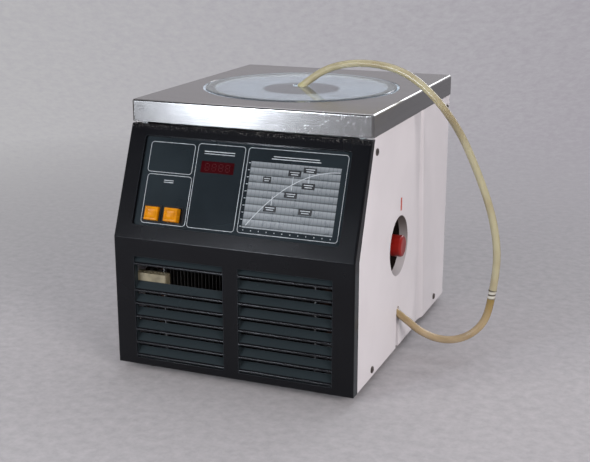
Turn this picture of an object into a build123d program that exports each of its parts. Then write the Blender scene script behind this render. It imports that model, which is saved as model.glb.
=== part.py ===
"""Bench-top laboratory freeze dryer.

A stainless tray carries a clear lid over the ice chamber. Below it stand a moulded front with a
sloped control panel and two louvred grilles, two moulded side panels, and the refrigeration set.
Millimetres; X across, -Y to the front, +Z up. The origin is under the middle of the machine, on
the surface it stands on.
"""

import math
import os

from build123d import *

os.makedirs("parts", exist_ok=True)

# ---------------------------------------------------------------- overall sizes
tray_width = 390.0
tray_depth = 441.0
tray_skirt = 34.0
tray_gauge = 1.5
tray_edge_radius = 4.0
foot_height = 12.0
body_height = 404.0  # tray top above the feet
front_reach = 72.0  # front face ahead of the tray
port_reach = 14.0  # vacuum port behind the tray
knee_height = 204.5  # bend of the front above the feet

overall_depth = front_reach + tray_depth + port_reach
front_y = -overall_depth / 2
rear_y = overall_depth / 2
tray_front_y = front_y + front_reach
body_base_z = foot_height
tray_top_z = foot_height + body_height
deck_z = tray_top_z - tray_gauge  # underside of the tray's sheet
skirt_bottom_z = tray_top_z - tray_skirt
knee_z = body_base_z + knee_height

# ---------------------------------------------------------------- skins and frame
bezel_wall = 4.0
bezel_return = 20.0  # depth of the front's side walls
bezel_top_return = 13.5
bezel_top_gap = 3.0  # below and ahead of the tray's skirt
bezel_edge_radius = 3.0
panel_inset = 1.0  # side faces inside the tray's outline
panel_depth = 14.0
panel_wall = 5.0
panel_rim = 4.0
seam = 0.5  # visible joint between skins
skin_x = tray_width / 2 - panel_inset
frame_x = skin_x - panel_depth  # outer face of the side frames
sheet = 2.0
pan_flange = 24.0
post_width = 22.0
rail_height = 25.0
frame_front_y = tray_front_y + 8.0
frame_rear_y = tray_front_y + tray_depth - 15.0
panel_rear_y = tray_front_y + tray_depth - 5.0
panel_top_z = skirt_bottom_z - seam

# ---------------------------------------------------------------- chamber and lid
chamber_y = tray_front_y + 215.0
lid_radius = 157.0
lid_thickness = 12.0
lid_proud = 1.5
lid_gap = 4.0
gasket_thickness = 3.0
gasket_outer = lid_radius - 2.0
gasket_inner = lid_radius - 16.0
pot_radius = 98.0
pot_wall = 1.5
pot_depth = 187.0
pot_floor = 2.0
flange_thickness = 3.0
flange_radius = lid_radius + lid_gap + 3.0
lip_radius = flange_radius + 8.0
mouth_radius = 64.0
trim_wall = 3.5
trim_height = 7.5
insulation_floor = 12.5

lid_top_z = tray_top_z + lid_proud
lid_bottom_z = lid_top_z - lid_thickness
flange_top_z = lid_bottom_z - gasket_thickness
flange_bottom_z = flange_top_z - flange_thickness
pot_floor_z = flange_bottom_z - pot_depth
pot_bottom_z = pot_floor_z - pot_floor

# ---------------------------------------------------------------- hose
hose_radius = 6.0
hose_bore = 4.05
spigot_radius = 4.0
spigot_bore = 2.8
hose_lower_points = [
    (168.0, -46.5, 87.5),
    (206.0, -44.9, 63.5),
    (229.0, -43.2, 45.0),
    (256.8, -42.0, 35.0),
    (283.0, -40.5, 35.0),
    (307.5, -38.5, 44.5),
    (327.0, -36.5, 62.5),
    (338.0, -34.5, 86.0),
    (341.0, -33.0, 110.0),
]
hose_upper_points = [
    (342.8, -32.1, 124.4),
    (345.8, -30.6, 148.4),
    (346.0, -28.0, 185.0),
    (339.5, -25.5, 222.0),
    (329.0, -23.0, 257.0),
    (314.5, -20.0, 291.0),
    (298.5, -17.0, 325.0),
    (280.0, -13.0, 359.0),
    (257.0, -8.5, 390.0),
    (230.0, -4.0, 418.0),
    (199.0, 1.0, 441.5),
    (165.0, 6.0, 455.5),
    (128.0, 11.0, 460.5),
    (91.0, 15.5, 459.5),
    (56.0, 19.0, 451.5),
    (28.6, 21.5, 438.1),
    (7.15, 23.0, 421.525),
]

# ---------------------------------------------------------------- drain valve
valve_y = tray_front_y + 143.4
valve_z = body_base_z + 172.3
access_radius = 48.0
collar_radius = access_radius + 4.0
well_depth = 30.0
well_floor_x = frame_x - well_depth
valve_x = well_floor_x - 20.0
well_wall = 2.5
knob_boss_radius = 13.0
knob_length = 39.0
knob_grip = 30.0  # depth of the round that the fingers hold
knob_radius = 17.2
knob_front_round = 4.0
knob_proud = 7.5  # beyond the side panel's face
spindle_radius = 4.0
plug_radius = 7.0
running_clearance = 0.05

# ---------------------------------------------------------------- control panel
recess_width = 333.0
recess_bottom = 21.5  # along the slope, from the knee
recess_top = 159.5
recess_depth = 5.0
fascia_thickness = 3.0
ledge_thickness = 2.0
ledge_width = 6.0
fit_gap = 0.3
window_x = -41.5
window_s = 119.5
window_width = 54.0
window_height = 17.5
button_x = (-136.5, -101.5)
button_s = 41.0
button_width = 22.5
button_height = 21.0
button_length = 24.0
button_proud = (1.5, 6.5)  # the left one is latched in
housing_wall = 1.6
housing_flange = 1.2
housing_depth = 33.0

# ---------------------------------------------------------------- refrigeration set
fan_z = body_base_z + 87.0
fan_radius = 69.0
condenser_y = tray_front_y - 24.0
condenser_half = 125.0
condenser_depth = 40.0
condenser_low_z = body_base_z + 14.0
condenser_high_z = body_base_z + 160.0
tube_radius = 4.75
tube_pitch = 24.0
tube_low_z = body_base_z + 27.0
compressor_x = -60.0
compressor_y = tray_front_y + 300.0
compressor_radius = 75.0
compressor_base_z = body_base_z + 20.0
coil_tube = 3.9
coil_radius = pot_radius + pot_wall + coil_tube + 0.1
insulation_radius = coil_radius + coil_tube + 26.6
left_pipe_x = -152.0
discharge_x = -166.0


def behind_tray(distance):
    """The Y of a place this far behind the tray's front skirt."""
    return tray_front_y + distance


def edge_near(builder, point):
    """The edge of a part under construction that lies nearest to a point."""
    return builder.edges().sort_by_distance(Vector(*point))[0]


def bend_radii(points):
    """Arc radius at each inner point: 0.45 of its shorter run over the tangent of half its turn."""
    radii = []
    for before, here, after in zip(points, points[1:], points[2:]):
        run_in = Vector(*here) - Vector(*before)
        run_out = Vector(*after) - Vector(*here)
        half_turn = math.radians(run_in.get_angle(run_out)) / 2
        radii.append(0.45 * min(run_in.length, run_out.length) / math.tan(half_turn))
    return radii


def bent_tube(points, bends, outer, bore=0.0):
    """A round tube of a given outer radius along straight runs joined by tangent arcs."""
    with BuildPart() as tube:
        with BuildLine() as route:
            if len(points) > 2:
                FilletPolyline(*points, radius=bends)
            else:
                Line(*points)
        start = Plane(origin=route.line @ 0, z_dir=route.line % 0)
        with BuildSketch(start):
            Circle(outer)
            if bore:
                Circle(bore, mode=Mode.SUBTRACT)
        sweep(path=route.wire())
    return tube


# ================================================================ top tray
with BuildPart() as top_cover:
    with BuildSketch(Plane.XY.offset(skirt_bottom_z)):
        with Locations((0, behind_tray(tray_depth / 2))):
            Rectangle(tray_width, tray_depth)
    extrude(amount=tray_skirt)
    fillet(top_cover.edges().filter_by(Axis.Z), tray_edge_radius)
    fillet(top_cover.faces().sort_by(Axis.Z)[-1].edges(), tray_edge_radius)
    with BuildSketch(Plane.XY.offset(skirt_bottom_z)):
        with Locations((0, behind_tray(tray_depth / 2))):
            RectangleRounded(
                tray_width - 2 * tray_gauge,
                tray_depth - 2 * tray_gauge,
                tray_edge_radius - tray_gauge,
            )
    extrude(amount=tray_skirt - tray_gauge, mode=Mode.SUBTRACT)
    with Locations((0, chamber_y, tray_top_z)):
        Hole(lid_radius + lid_gap)
top_cover.part.label = "top_cover"
export_step(top_cover.part, "parts/top_cover.step")

# ================================================================ front moulding
bezel_top_y = tray_front_y - bezel_top_gap
bezel_top_z = skirt_bottom_z - bezel_top_gap
slope_run = bezel_top_y - front_y
slope_rise = bezel_top_z - knee_z
slope_length = math.hypot(slope_run, slope_rise)
slope_up = Vector(0, slope_run, slope_rise) / slope_length
slope_out = Vector(0, -slope_rise, slope_run) / slope_length
control_plane = Plane(origin=(0, front_y, knee_z), x_dir=(1, 0, 0), z_dir=slope_out)
return_low_y = front_y + bezel_return
return_top_y = bezel_top_y + bezel_top_return
return_kink_z = knee_z - 3.5

grille_inner_x = 12.5
grille_width = 148.0
grille_low_z = body_base_z + 12.5
grille_high_z = body_base_z + 176.0
blade_count = 8
blade_pitch = 21.24
blade_low_z = body_base_z + 14.2
blade_lip = 2.2
blade_depth = 11.5
blade_rise = 12.0
blade_nose = 3.0  # radius between a blade's front and its slanted face
lost_blade = 6  # the left grille has lost this blade, counted up from the lowest
duct_wall = 2.5


def slope_point(distance, depth):
    """Point (Y, Z) this far up the slope from the knee and this deep behind its face."""
    spot = Vector(0, front_y, knee_z) + slope_up * distance - slope_out * depth
    return (spot.Y, spot.Z)


def inner_slope_corner(wall):
    """Where the inner faces of the lower front and of the slope meet, in (Y, Z)."""
    distance = wall * (slope_length - slope_rise) / slope_run
    return slope_point(distance, wall)


with BuildPart() as front_bezel:
    with BuildSketch(Plane.YZ.offset(-skin_x)):
        with BuildLine():
            Polyline(
                (front_y, body_base_z),
                (front_y, knee_z),
                (bezel_top_y, bezel_top_z),
                (return_top_y, bezel_top_z),
                (return_low_y, return_kink_z),
                (return_low_y, body_base_z),
                close=True,
            )
        make_face()
    extrude(amount=2 * skin_x)
    slope_mid = slope_point(slope_length / 2, 0)
    outer_edges = [
        edge_near(front_bezel, (0, front_y, knee_z)),
        edge_near(front_bezel, (0, front_y, body_base_z)),
        edge_near(front_bezel, (0, bezel_top_y, bezel_top_z)),
    ]
    for side_x in (-skin_x, skin_x):
        outer_edges.append(edge_near(front_bezel, (side_x, front_y, knee_z / 2)))
        outer_edges.append(edge_near(front_bezel, (side_x, *slope_mid)))
    fillet(outer_edges, bezel_edge_radius)

    # hollow, open to the rear
    inner_top_z = bezel_top_z - bezel_wall
    inner_low_z = body_base_z + bezel_wall
    inner_knee = inner_slope_corner(bezel_wall)
    slope_foot = slope_point(0, bezel_wall)
    to_inner_top = (inner_top_z - slope_foot[1]) / slope_rise * slope_length
    open_rear_y = return_top_y + bezel_return
    with BuildSketch(Plane.YZ.offset(-skin_x + bezel_wall)):
        with BuildLine():
            Polyline(
                (front_y + bezel_wall, inner_low_z),
                inner_knee,
                slope_point(to_inner_top, bezel_wall),
                (open_rear_y, inner_top_z),
                (open_rear_y, inner_low_z),
                close=True,
            )
        make_face()
    extrude(amount=2 * (skin_x - bezel_wall), mode=Mode.SUBTRACT)
    # the top wall ends ahead of the side frames
    with BuildSketch(Plane.XY.offset(inner_top_z)):
        with Locations((0, frame_front_y - seam + bezel_return / 2)):
            Rectangle(2 * (skin_x - bezel_wall), bezel_return)
    extrude(amount=bezel_wall, mode=Mode.SUBTRACT)

    # two grilles: an air duct behind each opening, then the slanted blades
    grille_x = grille_inner_x + grille_width / 2
    grille_z = (grille_low_z + grille_high_z) / 2
    grille_height = grille_high_z - grille_low_z
    front_plane = Plane(origin=(0, front_y, 0), x_dir=(1, 0, 0), z_dir=(0, -1, 0))
    with BuildSketch(front_plane.offset(-blade_depth)):
        with Locations((-grille_x, grille_z), (grille_x, grille_z)):
            Rectangle(grille_width + 2 * duct_wall, grille_height + 2 * duct_wall)
    extrude(amount=blade_depth - bezel_wall / 2)
    with BuildSketch(front_plane.offset(-blade_depth)):
        with Locations((-grille_x, grille_z), (grille_x, grille_z)):
            Rectangle(grille_width, grille_height)
    extrude(amount=blade_depth, mode=Mode.SUBTRACT)
    for centre_x in (-grille_x, grille_x):
        with BuildSketch(Plane.YZ.offset(centre_x - grille_width / 2)):
            for index in range(blade_count):
                if centre_x < 0 and index == lost_blade:
                    continue
                lip_z = blade_low_z + index * blade_pitch
                lip_y = front_y + fit_gap
                back_y = front_y + blade_depth
                run = back_y - lip_y
                slant = math.hypot(run, blade_rise)
                # the round nose meets the upright and the slanted face a short way from their corner
                nose = blade_nose * (slant - blade_rise) / run
                nose_low = (lip_y, lip_z + blade_lip - nose)
                nose_high = (
                    lip_y + nose * run / slant,
                    lip_z + blade_lip + nose * blade_rise / slant,
                )
                with BuildLine():
                    TangentArc(nose_low, nose_high, tangent=(0, 1))
                    Polyline(
                        nose_high,
                        (back_y, lip_z + blade_lip + blade_rise),
                        (back_y, lip_z + blade_rise - blade_lip / 2),
                        (lip_y + blade_lip, lip_z),
                        (lip_y, lip_z),
                        nose_low,
                    )
                make_face()
        extrude(amount=grille_width)

    # recess for the control panel, with a ledge behind it
    recess_s = (recess_bottom + recess_top) / 2
    recess_height = recess_top - recess_bottom
    pocket_depth = recess_depth + fascia_thickness
    with BuildSketch(control_plane.offset(-pocket_depth - ledge_thickness)):
        with Locations((0, recess_s)):
            Rectangle(recess_width + 2 * duct_wall, recess_height + 2 * duct_wall)
    extrude(amount=pocket_depth + ledge_thickness - bezel_wall / 2)
    with BuildSketch(control_plane.offset(-pocket_depth)):
        with Locations((0, recess_s)):
            RectangleRounded(recess_width, recess_height, 4.0)
    extrude(amount=pocket_depth, mode=Mode.SUBTRACT)
    with BuildSketch(control_plane.offset(-pocket_depth - ledge_thickness)):
        with Locations((0, recess_s)):
            Rectangle(recess_width - 2 * ledge_width, recess_height - 2 * ledge_width)
    extrude(amount=ledge_thickness, mode=Mode.SUBTRACT)
front_bezel.part.label = "front_bezel"
export_step(front_bezel.part, "parts/front_bezel.step")

# ================================================================ control panel
board_plane_depth = 16.0
board_size = (84.0, 40.0)
board_thickness = 1.6
cap_clearance = 0.35
housing_inner = (button_width + 2 * cap_clearance, button_height + 2 * cap_clearance)
housing_outer = (housing_inner[0] + 2 * housing_wall, housing_inner[1] + 2 * housing_wall)
fascia_width = recess_width - 2 * fit_gap
fascia_height = recess_height - 2 * fit_gap

with BuildPart() as control_fascia:
    with BuildSketch(control_plane.offset(-pocket_depth)):
        with Locations((0, recess_s)):
            RectangleRounded(fascia_width, fascia_height, 4.0 - fit_gap)
        with Locations((window_x, window_s)):
            Rectangle(window_width + fit_gap, window_height + fit_gap, mode=Mode.SUBTRACT)
        with Locations(*[(x, button_s) for x in button_x]):
            Rectangle(housing_outer[0] + fit_gap, housing_outer[1] + fit_gap, mode=Mode.SUBTRACT)
    extrude(amount=fascia_thickness)
    with BuildSketch(control_plane.offset(-board_plane_depth)):
        with Locations((window_x, window_s)):
            with GridLocations(board_size[0] - 8, board_size[1] - 8, 2, 2):
                Circle(2.5)
    extrude(amount=board_plane_depth - pocket_depth)
control_fascia.part.label = "control_fascia"
export_step(control_fascia.part, "parts/control_fascia.step")

with BuildPart() as display_window:
    with BuildSketch(control_plane.offset(-pocket_depth)):
        with Locations((window_x, window_s)):
            Rectangle(window_width, window_height)
    extrude(amount=fascia_thickness - fit_gap)
display_window.part.label = "display_window"
export_step(display_window.part, "parts/display_window.step")

with BuildPart() as display_board:
    with BuildSketch(control_plane.offset(-board_plane_depth - board_thickness)):
        with Locations((window_x, window_s)):
            Rectangle(*board_size)
    extrude(amount=board_thickness)
    # the light-emitting display is soldered to the board
    with BuildSketch(control_plane.offset(-board_plane_depth)):
        with Locations((window_x, window_s)):
            Rectangle(window_width - 5, window_height + 2)
    extrude(amount=board_plane_depth - pocket_depth - fit_gap)
display_board.part.label = "display_board"
export_step(display_board.part, "parts/display_board.step")

for name, centre_x, proud in zip(("left", "right"), button_x, button_proud):
    with BuildPart() as switch_housing:
        fascia_front = -recess_depth
        with BuildSketch(control_plane.offset(fascia_front)):
            with Locations((centre_x, button_s)):
                Rectangle(housing_outer[0] + 3, housing_outer[1] + 3)
        extrude(amount=housing_flange)
        with BuildSketch(control_plane.offset(fascia_front)):
            with Locations((centre_x, button_s)):
                Rectangle(*housing_outer)
        extrude(amount=-housing_depth)
        with BuildSketch(control_plane.offset(fascia_front + housing_flange)):
            with Locations((centre_x, button_s)):
                Rectangle(*housing_inner)
        extrude(amount=-housing_depth + housing_wall, mode=Mode.SUBTRACT)
    switch_housing.part.label = f"switch_housing_{name}"
    export_step(switch_housing.part, f"parts/switch_housing_{name}.step")

    with BuildPart() as button:
        with BuildSketch(control_plane.offset(proud)):
            with Locations((centre_x, button_s)):
                Rectangle(button_width, button_height)
        extrude(amount=-button_length)
        cap_top = button.faces().sort_by(Axis(control_plane.origin, slope_out))[-1]
        chamfer(cap_top.edges(), 1.0)
        with BuildSketch(control_plane.offset(proud - button_length)):
            with Locations((centre_x, button_s)):
                Rectangle(button_width - 3, button_height - 3)
        extrude(amount=button_length - 3, mode=Mode.SUBTRACT)
    button.part.label = f"button_{name}"
    export_step(button.part, f"parts/button_{name}.step")

# ================================================================ side panels
slot_y = tray_front_y + 146.2
slot_half = 7.3
slot_top_z = body_base_z + 71.0
slot_wall = 3.0
groove_depth = 5.0
groove_ends = (  # height, middle and width of the groove at its two ends
    (body_base_z - 1, behind_tray(275.0), 54.0),
    (panel_top_z + 1, behind_tray(259.0), 15.0),
)
screw_hole = 2.6
boss_radius = 7.0
panel_screw_spots = [
    (behind_tray(19.0), panel_top_z - 22.5),
    (behind_tray(15.0), body_base_z + 12.0),
    (panel_rear_y - 17.0, panel_top_z - 19.5),
    (panel_rear_y - 65.0, body_base_z + 15.0),
]


panel_front_slant = (return_top_y - return_low_y) / (bezel_top_z - return_kink_z)
panel_top_front_y = return_low_y + seam + (panel_top_z - return_kink_z) * panel_front_slant


def groove_cutter(side):
    """The shallow groove up a side panel, narrow at the top and wide at the base."""
    with BuildPart() as cutter:
        for height, middle, width in groove_ends:
            near, far = middle - width / 2, middle + width / 2
            face_x, clear_x = side * skin_x, side * (skin_x + 2)
            with BuildSketch(Plane.XY.offset(height)):
                with BuildLine():
                    ThreePointArc((face_x, near), (face_x - side * groove_depth, middle), (face_x, far))
                    Polyline((face_x, far), (clear_x, far), (clear_x, near), (face_x, near))
                make_face()
        loft()
    return cutter.part


def groove_backing(side):
    """The extra thickness inside a side panel that follows its groove."""
    back_x = side * (skin_x - groove_depth - panel_wall)
    front_x = side * (skin_x - panel_wall + 0.5)
    (low_z, low_y, low_width), (high_z, high_y, high_width) = groove_ends
    rise = high_z - low_z
    with BuildPart() as backing:
        for height in (body_base_z + panel_rim / 2, panel_top_z - panel_rim / 2):
            part_way = (height - low_z) / rise
            middle = low_y + (high_y - low_y) * part_way
            half = (low_width + (high_width - low_width) * part_way) / 2
            with BuildSketch(Plane.XY.offset(height)):
                with BuildLine():
                    Polyline(
                        (back_x, middle - half),
                        (back_x, middle + half),
                        (front_x, middle + half),
                        (front_x, middle - half),
                        close=True,
                    )
                make_face()
        loft(ruled=True)
    return backing.part


def side_panel(side, serviced):
    """A moulded side panel; the serviced one has the valve's round hole and the hose slot."""
    inner_depth = panel_depth - panel_wall
    with BuildPart() as panel:
        inner_plane = Plane.YZ.offset(side * frame_x)
        with BuildSketch(inner_plane) as outline:
            with BuildLine():
                Polyline(
                    (return_low_y + seam, body_base_z),
                    (return_low_y + seam, return_kink_z),
                    (panel_top_front_y, panel_top_z),
                    (panel_rear_y, panel_top_z),
                    (panel_rear_y, body_base_z),
                    close=True,
                )
            make_face()
        extrude(amount=side * panel_depth)
        fillet(panel.faces().sort_by(Axis.X)[-1 if side > 0 else 0].edges(), 1.2)
        with BuildSketch(inner_plane):
            offset(outline.sketch_local.face(), amount=-panel_rim, kind=Kind.INTERSECTION)
        extrude(amount=side * inner_depth, mode=Mode.SUBTRACT)
        with BuildSketch(inner_plane):
            with Locations(*panel_screw_spots):
                Circle(boss_radius)
            if serviced:
                with Locations((valve_y, valve_z)):
                    Circle(collar_radius)
                slot_height = slot_top_z - slot_half - body_base_z
                with Locations((slot_y, body_base_z + slot_height / 2)):
                    Rectangle(2 * (slot_half + slot_wall), slot_height)
        extrude(amount=side * inner_depth)
        add(groove_backing(side))
        with BuildSketch(inner_plane):
            with Locations(*panel_screw_spots):
                Circle(screw_hole)
            if serviced:
                with Locations((valve_y, valve_z)):
                    Circle(access_radius)
                with Locations((slot_y, slot_top_z - slot_half)):
                    Circle(slot_half)
                with Locations((slot_y, slot_top_z - slot_half - slot_height / 2)):
                    Rectangle(2 * slot_half, slot_height)
        extrude(amount=side * panel_depth, mode=Mode.SUBTRACT)
        add(groove_cutter(side), mode=Mode.SUBTRACT)
    return panel


left_side_panel = side_panel(-1, serviced=False)
left_side_panel.part.label = "left_side_panel"
export_step(left_side_panel.part, "parts/left_side_panel.step")

right_side_panel = side_panel(1, serviced=True)
right_side_panel.part.label = "right_side_panel"
export_step(right_side_panel.part, "parts/right_side_panel.step")

screw_head_radius = 5.5
screw_head_height = 2.2
screw_shank = 2.5
screw_reach = 20.0
with BuildPart() as panel_screws:
    for side in (-1, 1):
        head_plane = Plane.YZ.offset(side * skin_x)
        with BuildSketch(head_plane):
            with Locations(*panel_screw_spots):
                Circle(screw_head_radius)
        extrude(amount=side * screw_head_height)
        with BuildSketch(head_plane):
            with Locations(*panel_screw_spots):
                Circle(screw_shank)
        extrude(amount=-side * screw_reach)
    rims = panel_screws.edges().filter_by(GeomType.CIRCLE)
    rims = rims.filter_by(lambda edge: abs(abs(edge.center().X) - skin_x - screw_head_height) < 0.01)
    fillet(rims, 1.2)
    for side in (-1, 1):
        with BuildSketch(Plane.YZ.offset(side * (skin_x + screw_head_height))):
            with Locations(*panel_screw_spots):
                RegularPolygon(1.8, 6)
        extrude(amount=-side * 1.3, mode=Mode.SUBTRACT)
panel_screws.part.label = "panel_screws"
export_step(panel_screws.part, "parts/panel_screws.step")

# ================================================================ chassis
pan_half = frame_x - sheet
pan_front_y = return_low_y + seam
pan_rear_y = frame_rear_y - sheet
foot_x = pan_half - 28.0
foot_spots = {
    "front_left": (-foot_x, behind_tray(-30.0)),
    "front_right": (foot_x, behind_tray(-30.0)),
    "rear_left": (-foot_x, frame_rear_y - 26.0),
    "rear_right": (foot_x, frame_rear_y - 26.0),
}
foot_radius = 16.0
foot_stud = 4.0
compressor_mounts = (152.0, 116.0)
bolt_radius = 4.0

with BuildPart() as base_pan:
    pan_length = pan_rear_y - pan_front_y
    pan_y = (pan_rear_y + pan_front_y) / 2
    with BuildSketch(Plane.XY.offset(body_base_z)):
        with Locations((0, pan_y)):
            Rectangle(2 * pan_half, pan_length)
    extrude(amount=pan_flange)
    with BuildSketch(Plane.XY.offset(body_base_z + sheet)):
        with Locations((0, pan_y)):
            Rectangle(2 * (pan_half - sheet), pan_length - 2 * sheet)
    extrude(amount=pan_flange, mode=Mode.SUBTRACT)
    # the front flange is cut low so that it stays below the grilles
    with BuildSketch(Plane.XY.offset(body_base_z + 10)):
        with Locations((0, pan_front_y + sheet / 2)):
            Rectangle(2 * (pan_half - sheet), sheet)
    extrude(amount=pan_flange, mode=Mode.SUBTRACT)
    with BuildSketch(Plane.XY.offset(body_base_z)):
        with Locations(*foot_spots.values()):
            Circle(foot_stud + 0.2)
        with Locations((compressor_x, compressor_y)):
            with GridLocations(*compressor_mounts, 2, 2):
                Circle(bolt_radius + 0.2)
    extrude(amount=sheet, mode=Mode.SUBTRACT)
    for side in (-1, 1):
        with BuildSketch(Plane.YZ.offset(side * (pan_half - sheet))):
            with Locations(*panel_screw_spots):
                Circle(screw_hole)
        extrude(amount=side * sheet, mode=Mode.SUBTRACT)
base_pan.part.label = "base_pan"
export_step(base_pan.part, "parts/base_pan.step")

with BuildPart() as feet:
    with Locations(*[(*spot, 0) for spot in foot_spots.values()]):
        Cone(
            foot_radius,
            foot_radius - 2,
            foot_height,
            align=(Align.CENTER, Align.CENTER, Align.MIN),
        )
    with BuildSketch(Plane.XY.offset(foot_height)):
        with Locations(*foot_spots.values()):
            Circle(foot_stud)
    extrude(amount=sheet + 5)
feet.part.label = "feet"
export_step(feet.part, "parts/feet.step")

frame_depth = frame_rear_y - frame_front_y
frame_low_z = body_base_z + sheet
rear_flange = 20.0
front_flange = 6.0
rear_screw_z = (60.0, 200.0, skirt_bottom_z - 22.0)
for name, side in (("left", -1), ("right", 1)):
    with BuildPart() as side_frame:
        inner_x = side * (frame_x - sheet)
        with BuildSketch(Plane.YZ.offset(inner_x)):
            with Locations(((frame_front_y + frame_rear_y) / 2, (frame_low_z + deck_z) / 2)):
                Rectangle(frame_depth, deck_z - frame_low_z)
                Rectangle(
                    frame_depth - 2 * post_width,
                    deck_z - frame_low_z - 2 * rail_height,
                    mode=Mode.SUBTRACT,
                )
            with Locations(*panel_screw_spots):
                Circle(screw_hole, mode=Mode.SUBTRACT)
        extrude(amount=side * sheet)
        flange_low_z = body_base_z + pan_flange + 2
        for flange_y, reach in (
            (frame_front_y + sheet / 2, front_flange),
            (frame_rear_y - sheet / 2, rear_flange),
        ):
            with BuildSketch(Plane.XY.offset(flange_low_z)):
                with Locations((inner_x - side * reach / 2, flange_y)):
                    Rectangle(reach, sheet)
            extrude(amount=deck_z - flange_low_z)
        rear_screw_x = side * (frame_x - 12.0)
        rear_plane = Plane(origin=(0, frame_rear_y, 0), x_dir=(1, 0, 0), z_dir=(0, -1, 0))
        with BuildSketch(rear_plane):
            with Locations(*[(rear_screw_x, z) for z in rear_screw_z]):
                Circle(2.1)
        extrude(amount=sheet, mode=Mode.SUBTRACT)
    side_frame.part.label = f"side_frame_{name}"
    export_step(side_frame.part, f"parts/side_frame_{name}.step")

rail_reach = 20.0
rail_half = frame_x - sheet
# each rail is an angle: its near edge's Y, and where its upright web stands behind that
rails = (
    (frame_front_y + sheet, 0.0),
    (frame_rear_y - sheet - rail_reach, rail_reach - sheet),
)
with BuildPart() as cross_rails:
    with BuildSketch(Plane.XY.offset(deck_z - sheet)):
        with Locations(*[(0, near_y + rail_reach / 2) for near_y, web in rails]):
            Rectangle(2 * rail_half, rail_reach)
    extrude(amount=sheet)
    with BuildSketch(Plane.XY.offset(deck_z - rail_reach)):
        with Locations(*[(0, near_y + web + sheet / 2) for near_y, web in rails]):
            Rectangle(2 * rail_half, sheet)
    extrude(amount=rail_reach)
cross_rails.part.label = "cross_rails"
export_step(cross_rails.part, "parts/cross_rails.step")

# ================================================================ rear
rear_sheet = 1.5
rear_face_y = frame_rear_y + rear_sheet
port_z = flange_bottom_z - 36.0
port_outer = 14.0
port_bore = 12.5
inlet_x = -120.0
inlet_z = 80.0
inlet_body = (28.0, 20.0)
inlet_flange = (50.0, 24.0, 3.0)
inlet_cavity = (24.4, 16.4, 15.0)
vent_slot = (60.0, 3.6)

with BuildPart() as rear_panel:
    panel_low_z = body_base_z + sheet + 2
    panel_high_z = skirt_bottom_z - 1
    with BuildSketch(rear_plane):
        with Locations((0, (panel_low_z + panel_high_z) / 2)):
            Rectangle(2 * (frame_x - sheet), panel_high_z - panel_low_z)
        with Locations((0, port_z)):
            Circle(port_outer + 0.5, mode=Mode.SUBTRACT)
        with Locations((inlet_x, inlet_z)):
            Rectangle(inlet_body[0] + 0.4, inlet_body[1] + 0.4, mode=Mode.SUBTRACT)
        with Locations(*[(x, z) for x in (12.0 - frame_x, frame_x - 12.0) for z in rear_screw_z]):
            Circle(2.1, mode=Mode.SUBTRACT)
        with Locations((inlet_x - 20, inlet_z), (inlet_x + 20, inlet_z)):
            Circle(1.7, mode=Mode.SUBTRACT)
        with Locations((0, 190)):
            with GridLocations(vent_slot[0] + 20, 12, 3, 10):
                SlotOverall(*vent_slot, mode=Mode.SUBTRACT)
    extrude(amount=-rear_sheet)
rear_panel.part.label = "rear_panel"
export_step(rear_panel.part, "parts/rear_panel.step")

rear_screws_at = [(x, z) for x in (12.0 - frame_x, frame_x - 12.0) for z in rear_screw_z]
inlet_screws_at = [(inlet_x - 20, inlet_z), (inlet_x + 20, inlet_z)]
with BuildPart() as chassis_fasteners:
    with BuildSketch(rear_plane.offset(-rear_sheet)):
        with Locations(*rear_screws_at):
            Circle(4.0)
    extrude(amount=-2.2)
    with BuildSketch(rear_plane.offset(-rear_sheet)):
        with Locations(*rear_screws_at):
            Circle(2.0)
    extrude(amount=8)
    with BuildSketch(rear_plane.offset(-rear_sheet - inlet_flange[2])):
        with Locations(*inlet_screws_at):
            Circle(3.0)
    extrude(amount=-1.8)
    with BuildSketch(rear_plane.offset(-rear_sheet - inlet_flange[2])):
        with Locations(*inlet_screws_at):
            Circle(1.5)
    extrude(amount=10)
    # bolts of the compressor's feet, up through the base pan and the grommets
    with BuildSketch(Plane.XY.offset(body_base_z)):
        with Locations((compressor_x, compressor_y)):
            with GridLocations(*compressor_mounts, 2, 2):
                Circle(bolt_radius)
    extrude(amount=compressor_base_z + 3 - body_base_z)
    with BuildSketch(Plane.XY.offset(compressor_base_z + 3)):
        with Locations((compressor_x, compressor_y)):
            with GridLocations(*compressor_mounts, 2, 2):
                RegularPolygon(7.5, 6)
    extrude(amount=5.0)
chassis_fasteners.part.label = "chassis_fasteners"
export_step(chassis_fasteners.part, "parts/chassis_fasteners.step")

with BuildPart() as mains_inlet:
    inlet_plane = rear_plane.offset(-rear_sheet)
    with BuildSketch(inlet_plane):
        with Locations((inlet_x, inlet_z)):
            RectangleRounded(inlet_flange[0], inlet_flange[1], 4.0)
        with Locations(*inlet_screws_at):
            Circle(1.7, mode=Mode.SUBTRACT)
    extrude(amount=-inlet_flange[2])
    with BuildSketch(inlet_plane):
        with Locations((inlet_x, inlet_z)):
            Rectangle(*inlet_body)
    extrude(amount=inlet_cavity[2] + 3)
    with BuildSketch(inlet_plane.offset(-inlet_flange[2])):
        with Locations((inlet_x, inlet_z)):
            RectangleRounded(inlet_cavity[0], inlet_cavity[1], 2.5)
    extrude(amount=inlet_cavity[2], mode=Mode.SUBTRACT)
    with BuildSketch(inlet_plane.offset(-inlet_flange[2] + inlet_cavity[2])):
        with Locations((inlet_x - 7, inlet_z - 2), (inlet_x, inlet_z + 2), (inlet_x + 7, inlet_z - 2)):
            Rectangle(2, 4)
    extrude(amount=-inlet_cavity[2] + 2)
mains_inlet.part.label = "mains_inlet"
export_step(mains_inlet.part, "parts/mains_inlet.step")

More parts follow.
